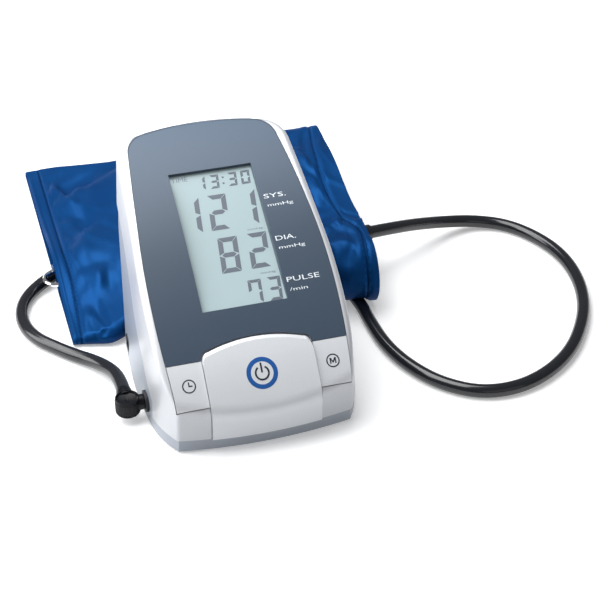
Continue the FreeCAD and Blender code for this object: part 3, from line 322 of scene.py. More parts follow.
paints = {
    "silver": silverPaint("silverPaint", (0.63, 0.65, 0.685), 0.32),
    "keySilver": silverPaint("keySilver", (0.775, 0.80, 0.83), 0.36),
    # the base is the shell's silver made darker: painted shade for the low part turned from the lamps
    "base": silverPaint("shadedBaseSilver", (0.40, 0.44, 0.50), 0.40),
    "window": slateWindow(),
    "crystal": liquidCrystal(),
    "bezel": mattePlastic("bezelPlastic", (0.085, 0.105, 0.13), 0.45),
    "dark": mattePlastic("darkPlastic", (0.025, 0.027, 0.031), 0.5),
    "plug": mattePlastic("plugPlastic", (0.005, 0.0055, 0.0075), 0.27, 500.0, 0.01, 0.16),
    "rubber": rubber("hoseRubber", (0.008, 0.009, 0.0125), 0.16),
    "foot": rubber("footRubber", (0.03, 0.03, 0.032), 0.6),
    "steel": metal("platedSteel", (0.56, 0.56, 0.57), 0.28, 0.12),
    "chrome": metal("brightChrome", (0.80, 0.81, 0.83), 0.06),
    "board": circuitBoard(),
    "tube": milkyTube(),
    "cell": cellJacket(),
    "nylon": wovenNylon("blueNylon", (0.0015, 0.034, 0.160), (0.006, 0.064, 0.208), seamed=True),
    "innerNylon": wovenNylon("innerNylon", (0.003, 0.026, 0.120), (0.005, 0.045, 0.17)),
    "segment": ink("segmentGrey", (0.098, 0.118, 0.152), 0.35),
    "legend": ink("legendWhite", (0.72, 0.78, 0.82)),
    "faint": ink("faintGrey", (0.15, 0.17, 0.21)),
    "navy": ink("navyInk", (0.006, 0.085, 0.32)),
    # dark grey for the band round the window: painted shade of its bevelled edge
    "edgeShade": ink("edgeShadeGrey", (0.020, 0.026, 0.036), 0.5),
    "black": ink("blackInk", (0.012, 0.016, 0.030)),
}
print("finishes ready:", len(paints))


# making pieces

def addPiece(name, mesh, body, paint):
    # an object for the mesh, painted, on its body and in its material slot
    piece = bpy.data.objects.new(name, mesh)
    bpy.context.scene.collection.objects.link(piece)
    mesh.materials.clear()
    mesh.materials.append(paints[paint])
    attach(piece, body)
    return piece


def placesOf(mesh):
    # a mesh's points as rows of x, y and z
    places = np.empty(len(mesh.vertices) * 3, dtype=np.float32)
    mesh.vertices.foreach_get("co", places)
    return places.reshape(-1, 3)


def plateMesh(name, points, faces):
    # flat faces over groups of points in millimetres, numbered through all the groups
    mesh = bpy.data.meshes.new(name)
    mesh.from_pydata((np.vstack(points) * mm).tolist(), [], faces)
    mesh.update()
    return mesh


def gridMesh(name, points, uv=None, wrapColumns=False, poles=False):
    # quads over a grid of points in millimetres; wrapColumns joins the last column to the first, and poles merges
    # the points that meet where a row shrinks to one place
    rows, columns = points.shape[:2]
    index = np.arange(rows * columns).reshape(rows, columns)
    if wrapColumns:
        index = np.hstack([index, index[:, :1]])
    quads = np.stack([index[:-1, :-1], index[:-1, 1:], index[1:, 1:], index[1:, :-1]], axis=-1).reshape(-1, 4)
    mesh = bpy.data.meshes.new(name)
    mesh.from_pydata((points.reshape(-1, 3) * mm).tolist(), [], quads.tolist())
    if uv is not None:
        corners = np.stack([uv[:-1, :-1], uv[:-1, 1:], uv[1:, 1:], uv[1:, :-1]], axis=-2)
        layer = mesh.uv_layers.new(name="cloth")
        layer.data.foreach_set("uv", (corners.reshape(-1) * mm).astype(np.float32))
    mesh.polygons.foreach_set("use_smooth", np.ones(len(quads), dtype=bool))
    if poles:
        shell = bmesh.new()
        shell.from_mesh(mesh)
        bmesh.ops.remove_doubles(shell, verts=shell.verts, dist=1e-6)
        bmesh.ops.recalc_face_normals(shell, faces=shell.faces)
        shell.to_mesh(mesh)
        shell.free()
    mesh.update()
    return mesh


def rounded(corners, radius, steps=6):
    # outline in two axes with each inner corner rounded by an arc of the given radius
    corners = np.asarray(corners, float)
    points = [corners[0]]
    for before, corner, after in zip(corners, corners[1:], corners[2:]):
        back = before - corner
        onward = after - corner
        back /= np.linalg.norm(back)
        onward /= np.linalg.norm(onward)
        half = np.arccos(np.clip(back @ onward, -1, 1)) / 2
        reach = radius / np.tan(half)
        centre = corner + (back + onward) / np.linalg.norm(back + onward) * radius / np.sin(half)
        first, last = corner + back * reach - centre, corner + onward * reach - centre
        share = np.linspace(0, 1, steps)[:, None]
        swing = first * (1 - share) + last * share
        points.extend(centre + swing / np.linalg.norm(swing, axis=1)[:, None] * radius)
    points.append(corners[-1])
    return np.array(points)


polish = dict(join=0.002, crease=32.0, weight=60)  # millimetres, degrees, how far large faces rule the shading


def polished(node, name, paint, body="root"):
    # a rigid node's own shape with its corners joined, so that its curves shade smoothly
    shell = bmesh.new()
    shell.from_mesh(nodes[node].data)
    bmesh.ops.remove_doubles(shell, verts=shell.verts, dist=polish["join"] * mm)
    mesh = bpy.data.meshes.new(name)
    shell.to_mesh(mesh)
    shell.free()
    if "custom_normal" in mesh.attributes:
        mesh.attributes.remove(mesh.attributes["custom_normal"])
    mesh.polygons.foreach_set("use_smooth", np.ones(len(mesh.polygons), dtype=bool))
    mesh.set_sharp_from_angle(angle=np.radians(polish["crease"]))
    piece = addPiece(name, mesh, body, paint)
    even = piece.modifiers.new("evenShading", "WEIGHTED_NORMAL")
    even.keep_sharp = True
    even.weight = polish["weight"]
    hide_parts(node)
    return piece


makeCamera()
makeLights()
half, drop = floorPlan["half"], floorPlan["drop"]
corner = np.array([-half, half])
floorMesh = gridMesh("floor", np.stack([*np.meshgrid(corner, corner), np.full((2, 2), -drop)], axis=-1))
floorThing = bpy.data.objects.new("floor", floorMesh)
bpy.context.scene.collection.objects.link(floorThing)
floorMesh.materials.append(ink("paleFloor", floorPlan["tone"], 0.7, floorPlan["glow"]))
floorThing.visible_diffuse = False
print("camera, lights and floor ready")


# air hose

hosePlan = dict(diameter=7.0, length=717.9, detail=8, route=[
    (89.8, 72.5, 26.7), (104.5, 77.67, 23.5), (122.4, 87.0, 16.8), (142.0, 96.0, 9.0), (162.5, 98.5, 4.4),
    (181.1, 89.5, 3.6), (194.0, 68.5, 3.6), (198.6, 46.4, 3.6), (195.5, 21.0, 3.6), (185.5, -3.5, 3.6),
    (165.5, -30.0, 3.6), (138.5, -46.0, 3.6), (113.5, -47.0, 3.6), (95.0, -34.5, 3.6), (83.5, -16.3, 3.6),
    (77.3, 3.4, 3.6), (75.8, 24.1, 3.6), (76.0, 42.0, 3.6), (72.5, 60.5, 3.6), (60.5, 81.5, 3.6),
    (38.0, 99.0, 3.6), (8.0, 112.0, 3.6), (-24.0, 121.0, 3.6), (-52.0, 122.5, 3.6), (-71.0, 117.5, 3.6),
    (-85.5, 107.5, 3.6), (-95.5, 96.0, 3.6), (-99.9, 83.8, 3.6), (-99.7, 70.8, 3.6), (-94.9, 58.7, 3.6),
    (-87.0, 49.5, 3.6), (-78.8, 40.3, 3.6), (-70.0, 31.5, 4.6), (-63.6, 20.0, 7.0), (-61.0, 8.0, 9.5),
    (-61.0, -1.8, 9.5)])


def makeHose():
    # a smooth spline that the route's points pull on, with a round section
    curve = bpy.data.curves.new("airHose", "CURVE")
    curve.dimensions = "3D"
    curve.resolution_u = curve.bevel_resolution = hosePlan["detail"]
    curve.bevel_depth = hosePlan["diameter"] / 2 * mm
    spline = curve.splines.new("NURBS")
    spline.points.add(len(hosePlan["route"]) - 1)
    for point, place in zip(spline.points, hosePlan["route"]):
        point.co = (*(Vector(place) * mm), 1)
    spline.order_u = 3
    spline.use_endpoint_u = True
    hose = bpy.data.objects.new("airHose", curve)
    bpy.context.scene.collection.objects.link(hose)
    curve.materials.append(paints["rubber"])
    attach(hose, "root")
    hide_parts("air_hose")
    return hose


def hoseLine():
    # points along the hose's own spline, in millimetres
    bare = airHose.data.copy()
    bare.bevel_depth = 0
    probe = bpy.data.objects.new("probe", bare)
    bpy.context.scene.collection.objects.link(probe)
    bpy.context.view_layer.update()
    line = bpy.data.meshes.new_from_object(probe.evaluated_get(bpy.context.evaluated_depsgraph_get()))
    places = placesOf(line).astype(float) / mm
    bpy.data.objects.remove(probe)
    bpy.data.meshes.remove(line)
    return places


airHose = makeHose()
hosePath = hoseLine()
print("hose ready, %d points on its line" % len(hosePath))


# air plug: a dished drum with a neck to the hose and a stub to the console

plugPlan = dict(centre=(-61.0, -12.5), low=5.1, high=13.9, radius=6.2, dish=1.3, rim=0.45, corner=0.32,
                dishEdge=0.6, dishSag=0.5, grip=0.3, gripLow=0.7, gripHigh=1.7, close=0.1,
                flutes=44, fluteDepth=0.28, fluteSteps=4,
                sunk=1.8, neckRadius=3.8, neckEnd=-1.85, stubEnd=-52.85, level=9.5, turns=48)


def drumProfile(cornerSteps=6, gripSteps=8):
    # half section of the drum: up its wall, over a narrow rim and down into the dish; the third column is 1 on the
    # grip, which stands out a little between the two ends and carries the flutes
    plan = plugPlan
    low, high, plain = plan["low"], plan["high"], plan["radius"] - plan["grip"]
    sink, lip = high - plan["dish"], plain - plan["rim"]
    wall = rounded([(low, 0.0), (low, plain), (high, plain), (high, lip), (sink, lip - plan["dishEdge"]),
                    (sink - plan["dishSag"], 0.0)], plan["corner"], cornerSteps)
    gripLow, gripHigh = low + plan["gripLow"], high - plan["gripHigh"]
    fluted = (wall[:, 0] > gripLow - plan["close"]) & (wall[:, 0] < gripHigh + plan["close"])
    steps = np.linspace(gripLow, gripHigh, gripSteps)
    grip = np.stack([steps, np.full(gripSteps, plan["radius"]), np.ones(gripSteps)], axis=-1)
    wall = np.column_stack([wall, fluted.astype(float)])
    lowerEnd = np.argmax(wall[:, 1] > plain - 0.01) + cornerSteps
    return np.vstack([wall[:lowerEnd], grip, wall[lowerEnd:]])


def plugTurned(name, profile, place, axis, turns, flutes=0, fluteDepth=0.0):
    # surface of revolution: each profile row is (distance along the axis, radius), swept through a full turn; flutes
    # are a cosine wave round the turn that is taken off the radius where the profile's third column is 1
    axis = np.array(axis, float)
    side = np.cross(axis, (0.0, 0.0, 1.0) if abs(axis[2]) < 0.9 else (0.0, 1.0, 0.0))
    third = np.cross(axis, side)
    angle = np.linspace(0, 2 * np.pi, turns, endpoint=False)
    ring = np.cos(angle)[:, None] * side + np.sin(angle)[:, None] * third
    radius = np.repeat(profile[:, 1:2], turns, axis=1)
    if flutes:
        radius = radius - profile[:, 2:] * fluteDepth * 0.5 * (1 + np.cos(flutes * angle))
    points = np.array(place, float) + profile[:, :1, None] * axis + radius[:, :, None] * ring
    return addPiece(name, gridMesh(name, points, wrapColumns=True, poles=True), "root", "plug")


def makePlug():
    # the neck and the stub are short turned rods, sunk into the drum and slightly thicker where they leave it
    plan = plugPlan
    (x, y), level, thick = plan["centre"], plan["level"], plan["neckRadius"]
    sunk = plan["radius"] - plan["sunk"]
    drum = plugTurned("plugDrum", drumProfile(), (x, y, 0), (0, 0, 1), plan["flutes"] * plan["fluteSteps"],
                      plan["flutes"], plan["fluteDepth"])
    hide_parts("air_plug")
    length = plan["neckEnd"] - y
    neck = rounded([(sunk, 0.0), (sunk, thick + 0.35), (length - 1.5, thick + 0.1), (length, thick - 0.1),
                    (length, 0.0)], 0.3, 4)
    neckPiece = plugTurned("plugNeck", neck, (x, y, level), (0, 1, 0), plan["turns"])
    length = plan["stubEnd"] - x
    stub = rounded([(sunk, 0.0), (sunk, thick + 0.2), (length - 0.2, thick), (length, thick), (length, 0.0)], 0.25, 4)
    return [drum, neckPiece, plugTurned("plugStub", stub, (x, y, level), (1, 0, 0), plan["turns"])]


plugPieces = makePlug()
plugPieces.append(polished("plug_nozzle", "plugNozzle", "plug"))
print("air plug ready")


# console: node, piece, paint and, where it isn't root, the body

rigid = [
    ("upper_housing", "upperShell", "silver"), ("lower_housing", "baseShell", "base"),
    ("window_panel", "windowPanel", "window"), ("lcd_glass", "displayGlass", "crystal"),
    ("lcd_bezel", "displayFrame", "bezel"), ("contact_strips", "contactStrips", "foot"),
    ("main_board", "mainBoard", "board"), ("key_board", "keyBoard", "board"),
    ("key_switches", "keySwitches", "dark"), ("buzzer", "sounder", "dark"),
    ("pressure_sensor", "pressureSensor", "dark"), ("pump_motor", "pumpMotor", "steel"),
    ("pump_head", "pumpHead", "dark"), ("pump_crank", "pumpCrank", "steel", "pump_rotor"),
    ("valve_body", "valveBody", "steel"), ("valve_plunger", "valvePlunger", "steel", "plunger"),
    ("inner_air_tube", "innerTube", "tube"), ("batteries", "cells", "cell"),
    ("battery_contacts", "cellContacts", "steel"), ("battery_door", "cellDoor", "base", "battery_door"),
    ("housing_screws", "caseScrews", "steel"), ("rubber_feet", "rubberFeet", "foot"),
    ("air_socket", "airSocket", "dark"), ("dc_jack", "supplyJack", "dark"),
    ("power_key", "powerKey", "keySilver", "power_key"), ("clock_key", "clockKey", "keySilver", "clock_key"),
    ("memory_key", "memoryKey", "keySilver", "memory_key"),
]
for node, name, paint, *body in rigid:
    polished(node, name, paint, *body)
print("console ready:", len(rigid), "rigid pieces")


# places on the console's face: u across, s up the curve from the hip

facePlan = dict(hip=(-30.8, 43.1), slope=np.radians(39.35), faceRadius=298.0, keyRadius=122.0,
                screenLow=23.1, screenHigh=100.6, recess=2.2)


def onFace(u, s, lift):
    # two arcs in the side view that share the slope at the hip: the display face above it, the key face below
    slope, hip = facePlan["slope"], np.array(facePlan["hip"])
    radius = np.where(s >= 0, facePlan["faceRadius"], facePlan["keyRadius"])
    turn = slope - s / radius
    centreY = hip[0] + radius * np.sin(slope)
    centreZ = hip[1] - radius * np.cos(slope)
    return np.stack([u + 0 * s, centreY - (radius + lift) * np.sin(turn), centreZ + (radius + lift) * np.cos(turn)],
                    axis=-1)


def onScreen(u, v, lift):
    # the flat display glass: v up the slope from the lower edge of its window
    low, high = (onFace(0.0, np.array(facePlan[edge]), 0.0) for edge in ("screenLow", "screenHigh"))
    up = (high - low) / np.linalg.norm(high - low)
    out = np.array([0.0, -up[2], up[1]])
    return (low + u[..., None] * np.array([1.0, 0.0, 0.0]) + v[..., None] * up
            + (lift - facePlan["recess"]) * out)


def flatMesh(name, shapes, place, lift):
    # closed outlines (lists of pairs) as thin faces laid on the surface that place gives
    points, faces, count = [], [], 0
    for shape in shapes:
        pairs = np.asarray(shape, float)
        points.append(place(pairs[:, 0], pairs[:, 1], lift))
        faces.append(list(range(count, count + len(pairs))))
        count += len(pairs)
    return plateMesh(name, points, faces)


def lettering(name, words, place, lift, paint):
    # text set on a surface: each entry is (text, left, base line, height of a capital, width)
    capital = 0.69  # height of the font's own capitals
    points, faces, count = [], [], 0
    for text, left, base, height, width in words:
        curve = bpy.data.curves.new(name, "FONT")
        curve.body = text
        curve.resolution_u = 3
        thing = bpy.data.objects.new(name, curve)
        bpy.context.scene.collection.objects.link(thing)
        bpy.context.view_layer.update()
        flat = bpy.data.meshes.new_from_object(thing.evaluated_get(bpy.context.evaluated_depsgraph_get()))
        outline = placesOf(flat)[:, :2].astype(float)
        outline[:, 0] -= outline[:, 0].min()
        u = left + outline[:, 0] / outline[:, 0].max() * width
        s = base + outline[:, 1] / capital * height
        points.append(place(u, s, lift))
        faces.extend([count + corner for corner in face.vertices] for face in flat.polygons)
        count += len(outline)
        bpy.data.objects.remove(thing)
        bpy.data.meshes.remove(flat)
    return addPiece(name, plateMesh(name, points, faces), "root", paint)


legends = dict(lift=0.04, words=[
    ("SYS.", 21.9, 77.9, 2.5, 11.2), ("mmHg", 22.6, 73.0, 1.7, 13.0),
    ("DIA.", 21.9, 53.6, 2.5, 10.2), ("mmHg", 22.4, 48.9, 1.7, 13.2),
    ("PULSE", 22.1, 31.2, 2.5, 16.4), ("/min", 22.4, 26.4, 1.7, 9.0)])
lettering("panelLegends", legends["words"], onFace, legends["lift"], "legend")


# display segments

segmentPlan = dict(
    slant=0.094, lift=0.05, gap=0.07,
    rows=[
        dict(base=43.6, height=19.8, width=9.4, bar=2.5, marks=[("1", -20.6), ("2", -6.9), ("1", 7.9)]),
        dict(base=19.6, height=19.4, width=9.8, bar=2.5, marks=[("8", -7.2), ("2", 7.6)]),
        dict(base=1.0, height=12.8, width=6.6, bar=1.6, marks=[("7", 2.6), ("3", 12.2)]),
        dict(base=67.0, height=7.8, width=4.6, bar=1.25, marks=[("1", -9.0), ("3", -2.0), ("3", 7.2), ("0", 13.9)])],
    colon=dict(left=4.3, right=5.3, half=0.5, foot=67.3, levels=(69.2, 72.6)),
    words=[("TIME", -20.6, 73.4, 2.6, 8.2), ("mmHg", 10.6, 40.7, 1.0, 7.6), ("mmHg", 11.2, 16.1, 1.0, 7.4)])
litBars = {"0": "abcdef", "1": "bc", "2": "abged", "3": "abgcd", "7": "abcf", "8": "abcdefg"}


def digitShapes(row):
    # seven bars whose meeting ends are cut at 45 degrees, with a thin gap, then leaned over
    wide, tall, bar, gap = row["width"], row["height"], row["bar"], row["bar"] * segmentPlan["gap"]
    middle, half = tall / 2, bar / 2
    shapes = {
        "a": [(gap, tall), (wide - gap, tall), (wide - bar - gap, tall - bar), (bar + gap, tall - bar)],
        "d": [(bar + gap, bar), (wide - bar - gap, bar), (wide - gap, 0), (gap, 0)],
        "f": [(0, tall - gap), (bar, tall - bar - gap), (bar, middle + half + gap), (0, middle + gap)],
        "e": [(0, middle - gap), (bar, middle - half - gap), (bar, bar + gap), (0, gap)],
        "b": [(wide, tall - gap), (wide, middle + gap), (wide - bar, middle + half + gap),
              (wide - bar, tall - bar - gap)],
        "c": [(wide, middle - gap), (wide, gap), (wide - bar, bar + gap), (wide - bar, middle - half - gap)],
        "g": [(half, middle), (bar + gap, middle + half), (wide - bar - gap, middle + half), (wide - half, middle),
              (wide - bar - gap, middle - half), (bar + gap, middle - half)]}
    placed = []
    for mark, start in row["marks"]:
        for letter in litBars[mark]:
            shape = np.array(shapes[letter])
            shape[:, 0] += start + shape[:, 1] * segmentPlan["slant"]
            shape[:, 1] += row["base"]
            placed.append(shape)
    return placed


def colonShapes(left, right, half, foot, levels):
    # square dots that lean with the digits
    dot = np.array([(left, -half), (right, -half), (right, half), (left, half)])
    return [dot + (segmentPlan["slant"] * (level - foot), level) for level in levels]


digits = [shape for row in segmentPlan["rows"] for shape in digitShapes(row)] + colonShapes(**segmentPlan["colon"])
addPiece("displayDigits", flatMesh("displayDigits", digits, onScreen, segmentPlan["lift"]), "root",
         "segment")
lettering("displayUnits", segmentPlan["words"], onScreen, segmentPlan["lift"], "faint")
print("display ready:", len(digits), "segments")


# painted shade along the window's bevelled edge, a dark band: arcs through sets of three points of its outline, each
# right then left

edgeShadePlan = dict(width=0.34, lift=0.03, steps=24, arcs=[
    ((44.4, 0.0), (45.2, 35.0), (42.9, 73.0)), ((42.9, 73.0), (40.85, 94.5), (38.4, 116.0)),
    ((38.4, 116.0), (34.6, 125.55), (26.0, 130.3)), ((26.0, 130.3), (0.0, 133.0), (-26.0, 130.3)),
    ((-26.0, 130.3), (-34.6, 125.55), (-38.4, 116.0)), ((-38.4, 116.0), (-40.85, 94.5), (-42.9, 73.0)),
    ((-42.9, 73.0), (-45.2, 35.0), (-44.4, 0.0))])


def arcThrough(first, middle, last, steps):
    # the circle through three points, walked from the first to the last; its middle is equally far from all three
    first, others = np.array(first), np.array([middle, last])
    centre = np.linalg.solve(2 * (others - first), (others ** 2).sum(axis=1) - first @ first)
    start, end = first - centre, others[1] - centre
    turn = np.arctan2(start[0] * end[1] - start[1] * end[0], start @ end)
    angle = np.arctan2(start[1], start[0]) + np.linspace(0, turn, steps)
    return centre + np.hypot(*start) * np.stack([np.cos(angle), np.sin(angle)], axis=-1)


def makeEdgeShade():
    # a narrow band on the face, half its width to either side of the line that the arcs give
    line = np.vstack([arcThrough(*corners, edgeShadePlan["steps"])[:-1] for corners in edgeShadePlan["arcs"]])
    along = np.gradient(line, axis=0)
    along /= np.linalg.norm(along, axis=1)[:, None]
    side = np.stack([-along[:, 1], along[:, 0]], axis=-1) * edgeShadePlan["width"] / 2
    both = np.stack([line - side, line + side])
    points = onFace(both[..., 0], both[..., 1], edgeShadePlan["lift"])
    addPiece("windowEdgeShade", gridMesh("windowEdgeShade", points), "root", "edgeShade")


makeEdgeShade()


# marks on the keys

keyMarks = dict(
    # each key's body, the middle of its mark across and along the face, and the print's height over the face
    power=("power_key", (0.0, -10.9), 1.54), clock=("clock_key", (-35.3, -11.0), 0.34),
    memory=("memory_key", (35.2, -11.0), 0.34),
    # strokes from start to end, about the middle of the mark
    stem=[((0.0, 0.2), (0.0, 4.9))], hands=[((0.0, -0.2), (0.0, 2.0)), ((-0.2, 0.0), (1.6, 0.0))],
    letter=[((-1.25, -1.4), (-1.25, 1.4)), ((1.25, -1.4), (1.25, 1.4)),
            ((-1.15, 1.3), (0.05, -0.9)), ((1.15, 1.3), (-0.05, -0.9))])


def ringPatch(name, key, inner, outer, sweep=(0, 360), over=0.0, paint="black", steps=73, rings=4):
    # flat band between two circles through a sweep of angles (degrees, 0 to the right), laid on the key face
    body, middle, lift = keyMarks[key]
    angle = np.radians(np.linspace(*sweep, steps))[None, :]
    radius = np.linspace(outer, inner, rings)[:, None]
    points = onFace(middle[0] + radius * np.cos(angle), middle[1] + radius * np.sin(angle), lift + over)
    addPiece(name, gridMesh(name, points), body, paint)


def strokePatch(name, key, strokes, width, over=0.0, cuts=7):
    # straight strokes with square ends, each cut into short lengths so that it follows the key's curve
    body, middle, lift = keyMarks[key]
    points, faces = [], []
    for number, stroke in enumerate(strokes):
        start, end = np.array(stroke) + middle
        along = (end - start) / np.linalg.norm(end - start)
        across = np.array([-along[1], along[0]]) * width / 2
        share = np.linspace(0, 1, cuts)[:, None]
        line = start * (1 - share) + end * share
        both = np.concatenate([line + across, line - across])
        points.append(onFace(both[:, 0], both[:, 1], lift + over))
        first = np.arange(cuts - 1)[:, None] + number * 2 * cuts
        faces.extend((first + (0, cuts, cuts + 1, 1)).tolist())
    addPiece(name, plateMesh(name, points, faces), body, "black")


ringPatch("powerHalo", "power", 5.45, 7.6, paint="navy")
ringPatch("powerRing", "power", 2.75, 3.6, sweep=(-238, 58), over=0.02)
strokePatch("powerStroke", "power", keyMarks["stem"], 0.85, over=0.03)
ringPatch("clockRing", "clock", 2.7, 3.3)
strokePatch("clockHands", "clock", keyMarks["hands"], 0.6)
ringPatch("memoryRing", "memory", 2.7, 3.3)
strokePatch("memoryLetter", "memory", keyMarks["letter"], 0.62)
print("key marks ready")


# cuff: a flattened tube of nylon, hemmed at its left end and seamed at its right end, where the hose goes in

cuffPlan = dict(
    # x, front y, back y, height, what the top gains near the front and near the back, slant of the edge
    stations=np.array([
        (-77.4, 52.0, 223.0, 4.6, 8.8, 0.4, 0.0), (-63.5, 47.5, 219.0, 9.0, 6.0, 0.8, 0.0),
        (-57.5, 45.0, 217.0, 10.3, 5.2, 0.9, 0.0), (-48.0, 50.5, 213.0, 12.5, 4.0, 1.2, 0.0),
        (-28.0, 53.0, 206.5, 16.3, 1.5, 1.6, 0.0), (12.0, 57.0, 200.0, 24.5, 0.0, 1.8, 0.0),
        (46.0, 58.0, 194.0, 31.0, -1.0, 1.8, 0.0), (66.0, 40.5, 190.0, 34.5, -1.5, 1.8, 0.0),
        (84.0, 34.5, 187.0, 36.8, -2.5, 1.8, 0.053)]),
    # distances to either side and their weights in the mean that rounds the corners
    easing=((-5.0, 1), (-2.5, 2), (0.0, 3), (2.5, 2), (5.0, 1)),
    # where the top swells, as shares of its width, and how wide; the share of the ring that a side fold takes
    near=0.37, nearWidth=0.2, nearRise=(0, 0.25), far=0.72, farWidth=0.17, farFall=(1, 0.8), foldShare=0.14,
    rows=176, crowding=0.09, columns=180, wall=1.2, floorGap=0.3,
    # ridge over the hose, for the stretch of hose that lies lower than onFloor
    tunnelWidth=10.5, tunnelTop=8.3, onFloor=6.0,
    # seams seen from above: y, then x
    hem=np.array([(44.0, -73.5), (52.0, -72.9), (75.0, -71.2), (93.0, -70.2), (119.0, -71.0), (142.0, -70.6),
                  (223.0, -70.4)]),
    endSeam=np.array([(35.5, 78.0), (41.9, 78.8), (51.2, 80.1), (60.3, 81.4), (67.5, 81.0), (73.0, 78.6),
                      (78.0, 76.6), (91.2, 76.3), (105.1, 76.4), (121.9, 77.2), (148.1, 80.7), (172.2, 85.6),
                      (187.0, 88.6)]),
    branch=((71.8, 78.8), (76.5, 76.2)), branchLow=20.0, branchAway=9.0,
    grooveDepth=0.6, grooveWidth=0.6, puff=0.9, puffInner=1.8, puffWidth=4.5,
    lip=dict(height=0.8, place=1.8, width=1.0),
    # puckers round the hose where it leaves the cuff
    outlet=(91.8, 72.5, 26.7), pucker=0.75, puckers=7, puckerPlace=9.0, puckerWidth=4.5,
    # strip under and close to the console, which stays plain: half width and y from plain to free
    console=dict(middle=2.0, side=(54, 62), back=(68, 84)),
    # cloth from held to free: distances at the two ends; then the loss at the back fold, the distances over which it
    # sets in, and the upward parts of the normals where it starts and ends; the same four for the laid forms
    freeLeft=(7.0, 13.0), freeRight=(7.0, 12.0), free=(0.85, 22.0, 4.0, (-0.35, 0.35)),
    laid=(0.8, 16.0, 3.0, (-0.6, 0.1)),
    # laid folds: middle x and y, heading in degrees from +X, half length, half width, height; then how they curve,
    # and how far from a seam they start
    foldCurve=0.012, foldStart=(0.4, 3.0),
    folds=[(-64.0, 186.0, 97, 26, 3.2, 1.5), (-62.5, 150.0, 92, 30, 4.2, 1.3), (-60.5, 112.0, 84, 26, 5.0, 1.7),
           (-57.0, 82.0, 80, 18, 3.0, 1.2), (-52.5, 150.0, 100, 34, 3.4, -1.1), (-50.0, 96.0, 74, 22, 3.2, -1.0),
           (-67.0, 66.0, 70, 10, 2.2, 0.9), (-60.0, 60.0, 96, 12, 2.4, -0.9), (-54.0, 58.0, 84, 12, 3.0, 1.0),
           (73.0, 134.0, 102, 30, 2.6, 0.9), (68.0, 104.0, 96, 20, 3.0, -1.0), (79.5, 163.0, 70, 14, 2.4, -1.1),
           (86.0, 152.0, 76, 16, 1.8, 0.8), (79.0, 84.0, 128, 9, 2.0, -1.2), (74.0, 70.0, 118, 10, 2.4, 1.0),
           (70.0, 56.0, 108, 12, 3.2, 0.9), (84.5, 60.0, 100, 9, 1.8, -0.7), (66.0, 80.0, 108, 14, 2.4, -0.8)],
    # cloth: coarse rows and columns, pressure, growth, and the most that a point may move
    cloth=dict(rows=76, columns=100, pressure=2.2, growth=-0.07, most=2.4, frames=20, quality=6, mass=0.25,
               stretch=10, shear=4, bend=0.12),
    lining=dict(inset=5.2, left=-34.0, short=0.4, rows=70, wall=1.0))


def smoothStep(low, high, value):
    # 0 at low, 1 at high: three times the squared share less twice its cube
    share = np.clip((value - low) / (high - low), 0, 1)
    return share * share * (3 - 2 * share)


def hump(value, width):
    # bell: 1 at zero, the exponential of minus the square of value over width
    return np.exp(-(value / width) ** 2)


def eased(x, places, values):
    # straight blends between the stations, averaged over a few millimetres so that the corners are rounded off
    steps = cuffPlan["easing"]
    total = sum(weight for step, weight in steps)
    return sum(weight * np.interp(x + step, places, values) for step, weight in steps) / total


def cuffSection(x, inset, steps):
    # flattened tube at each x: a straight bottom, a half circle at either fold, a waved top; points run from the
    # bottom to the back fold and home over the top to the front fold
    plan, stations = cuffPlan, cuffPlan["stations"]
    front, back, tall, near, far, slant = (eased(x, stations[:, 0], column)[:, None] for column in stations.T[1:])
    half = tall / 2
    bend = int(steps * plan["foldShare"])
    flat = (steps - 2 * bend) // 2
    swing = np.linspace(-np.pi / 2, np.pi / 2, bend, endpoint=False)[None, :]
    out, up = (half - inset) * np.cos(swing), (half - inset) * np.sin(swing)
    frontFold = np.stack([front + half - out, half + up], axis=-1)
    share = np.linspace(0, 1, flat, endpoint=False)[None, :]
    start, end = front + half, back - half
    nearTop = near * hump(share - plan["near"], plan["nearWidth"]) * smoothStep(*plan["nearRise"], share)
    farTop = far * hump(share - plan["far"], plan["farWidth"]) * smoothStep(*plan["farFall"], share)
    top = np.stack([start + (end - start) * share, tall - inset + nearTop + farTop], axis=-1)
    backFold = np.stack([back - half + out, half - up], axis=-1)
    under = np.stack([end + (start - end) * share, np.full((len(x), flat), inset, float)], axis=-1)
    ring = np.concatenate([frontFold, top, backFold, under], axis=1)[:, ::-1]
    return np.concatenate([(x[:, None] + slant * (ring[..., 0] - front))[..., None], ring], axis=-1)


def liftOverHose(points, inset):
    # the underside stays clear of the floor and rises over the hose in a ridge, half a cosine wave to either side
    low = hosePath[hosePath[:, 2] < cuffPlan["onFloor"]]
    away = np.hypot(points[..., 0, None] - low[:, 0], points[..., 1, None] - low[:, 1]).min(axis=-1)
    ridge = 0.5 + 0.5 * np.cos(np.pi * np.clip(away / cuffPlan["tunnelWidth"], 0, 1))
    least = cuffPlan["floorGap"] + inset + (cuffPlan["tunnelTop"] - cuffPlan["floorGap"]) * ridge
    points[..., 2] = np.maximum(points[..., 2], least)
    return points


def outward(points):
    # unit normals of the tube's grid: its step round the ring crossed with its step along the rows
    along = np.gradient(points, axis=0)
    around = (np.roll(points, -1, axis=1) - np.roll(points, 1, axis=1)) / 2
    normal = np.cross(around, along)
    return normal / np.maximum(np.linalg.norm(normal, axis=-1, keepdims=True), 1e-9)


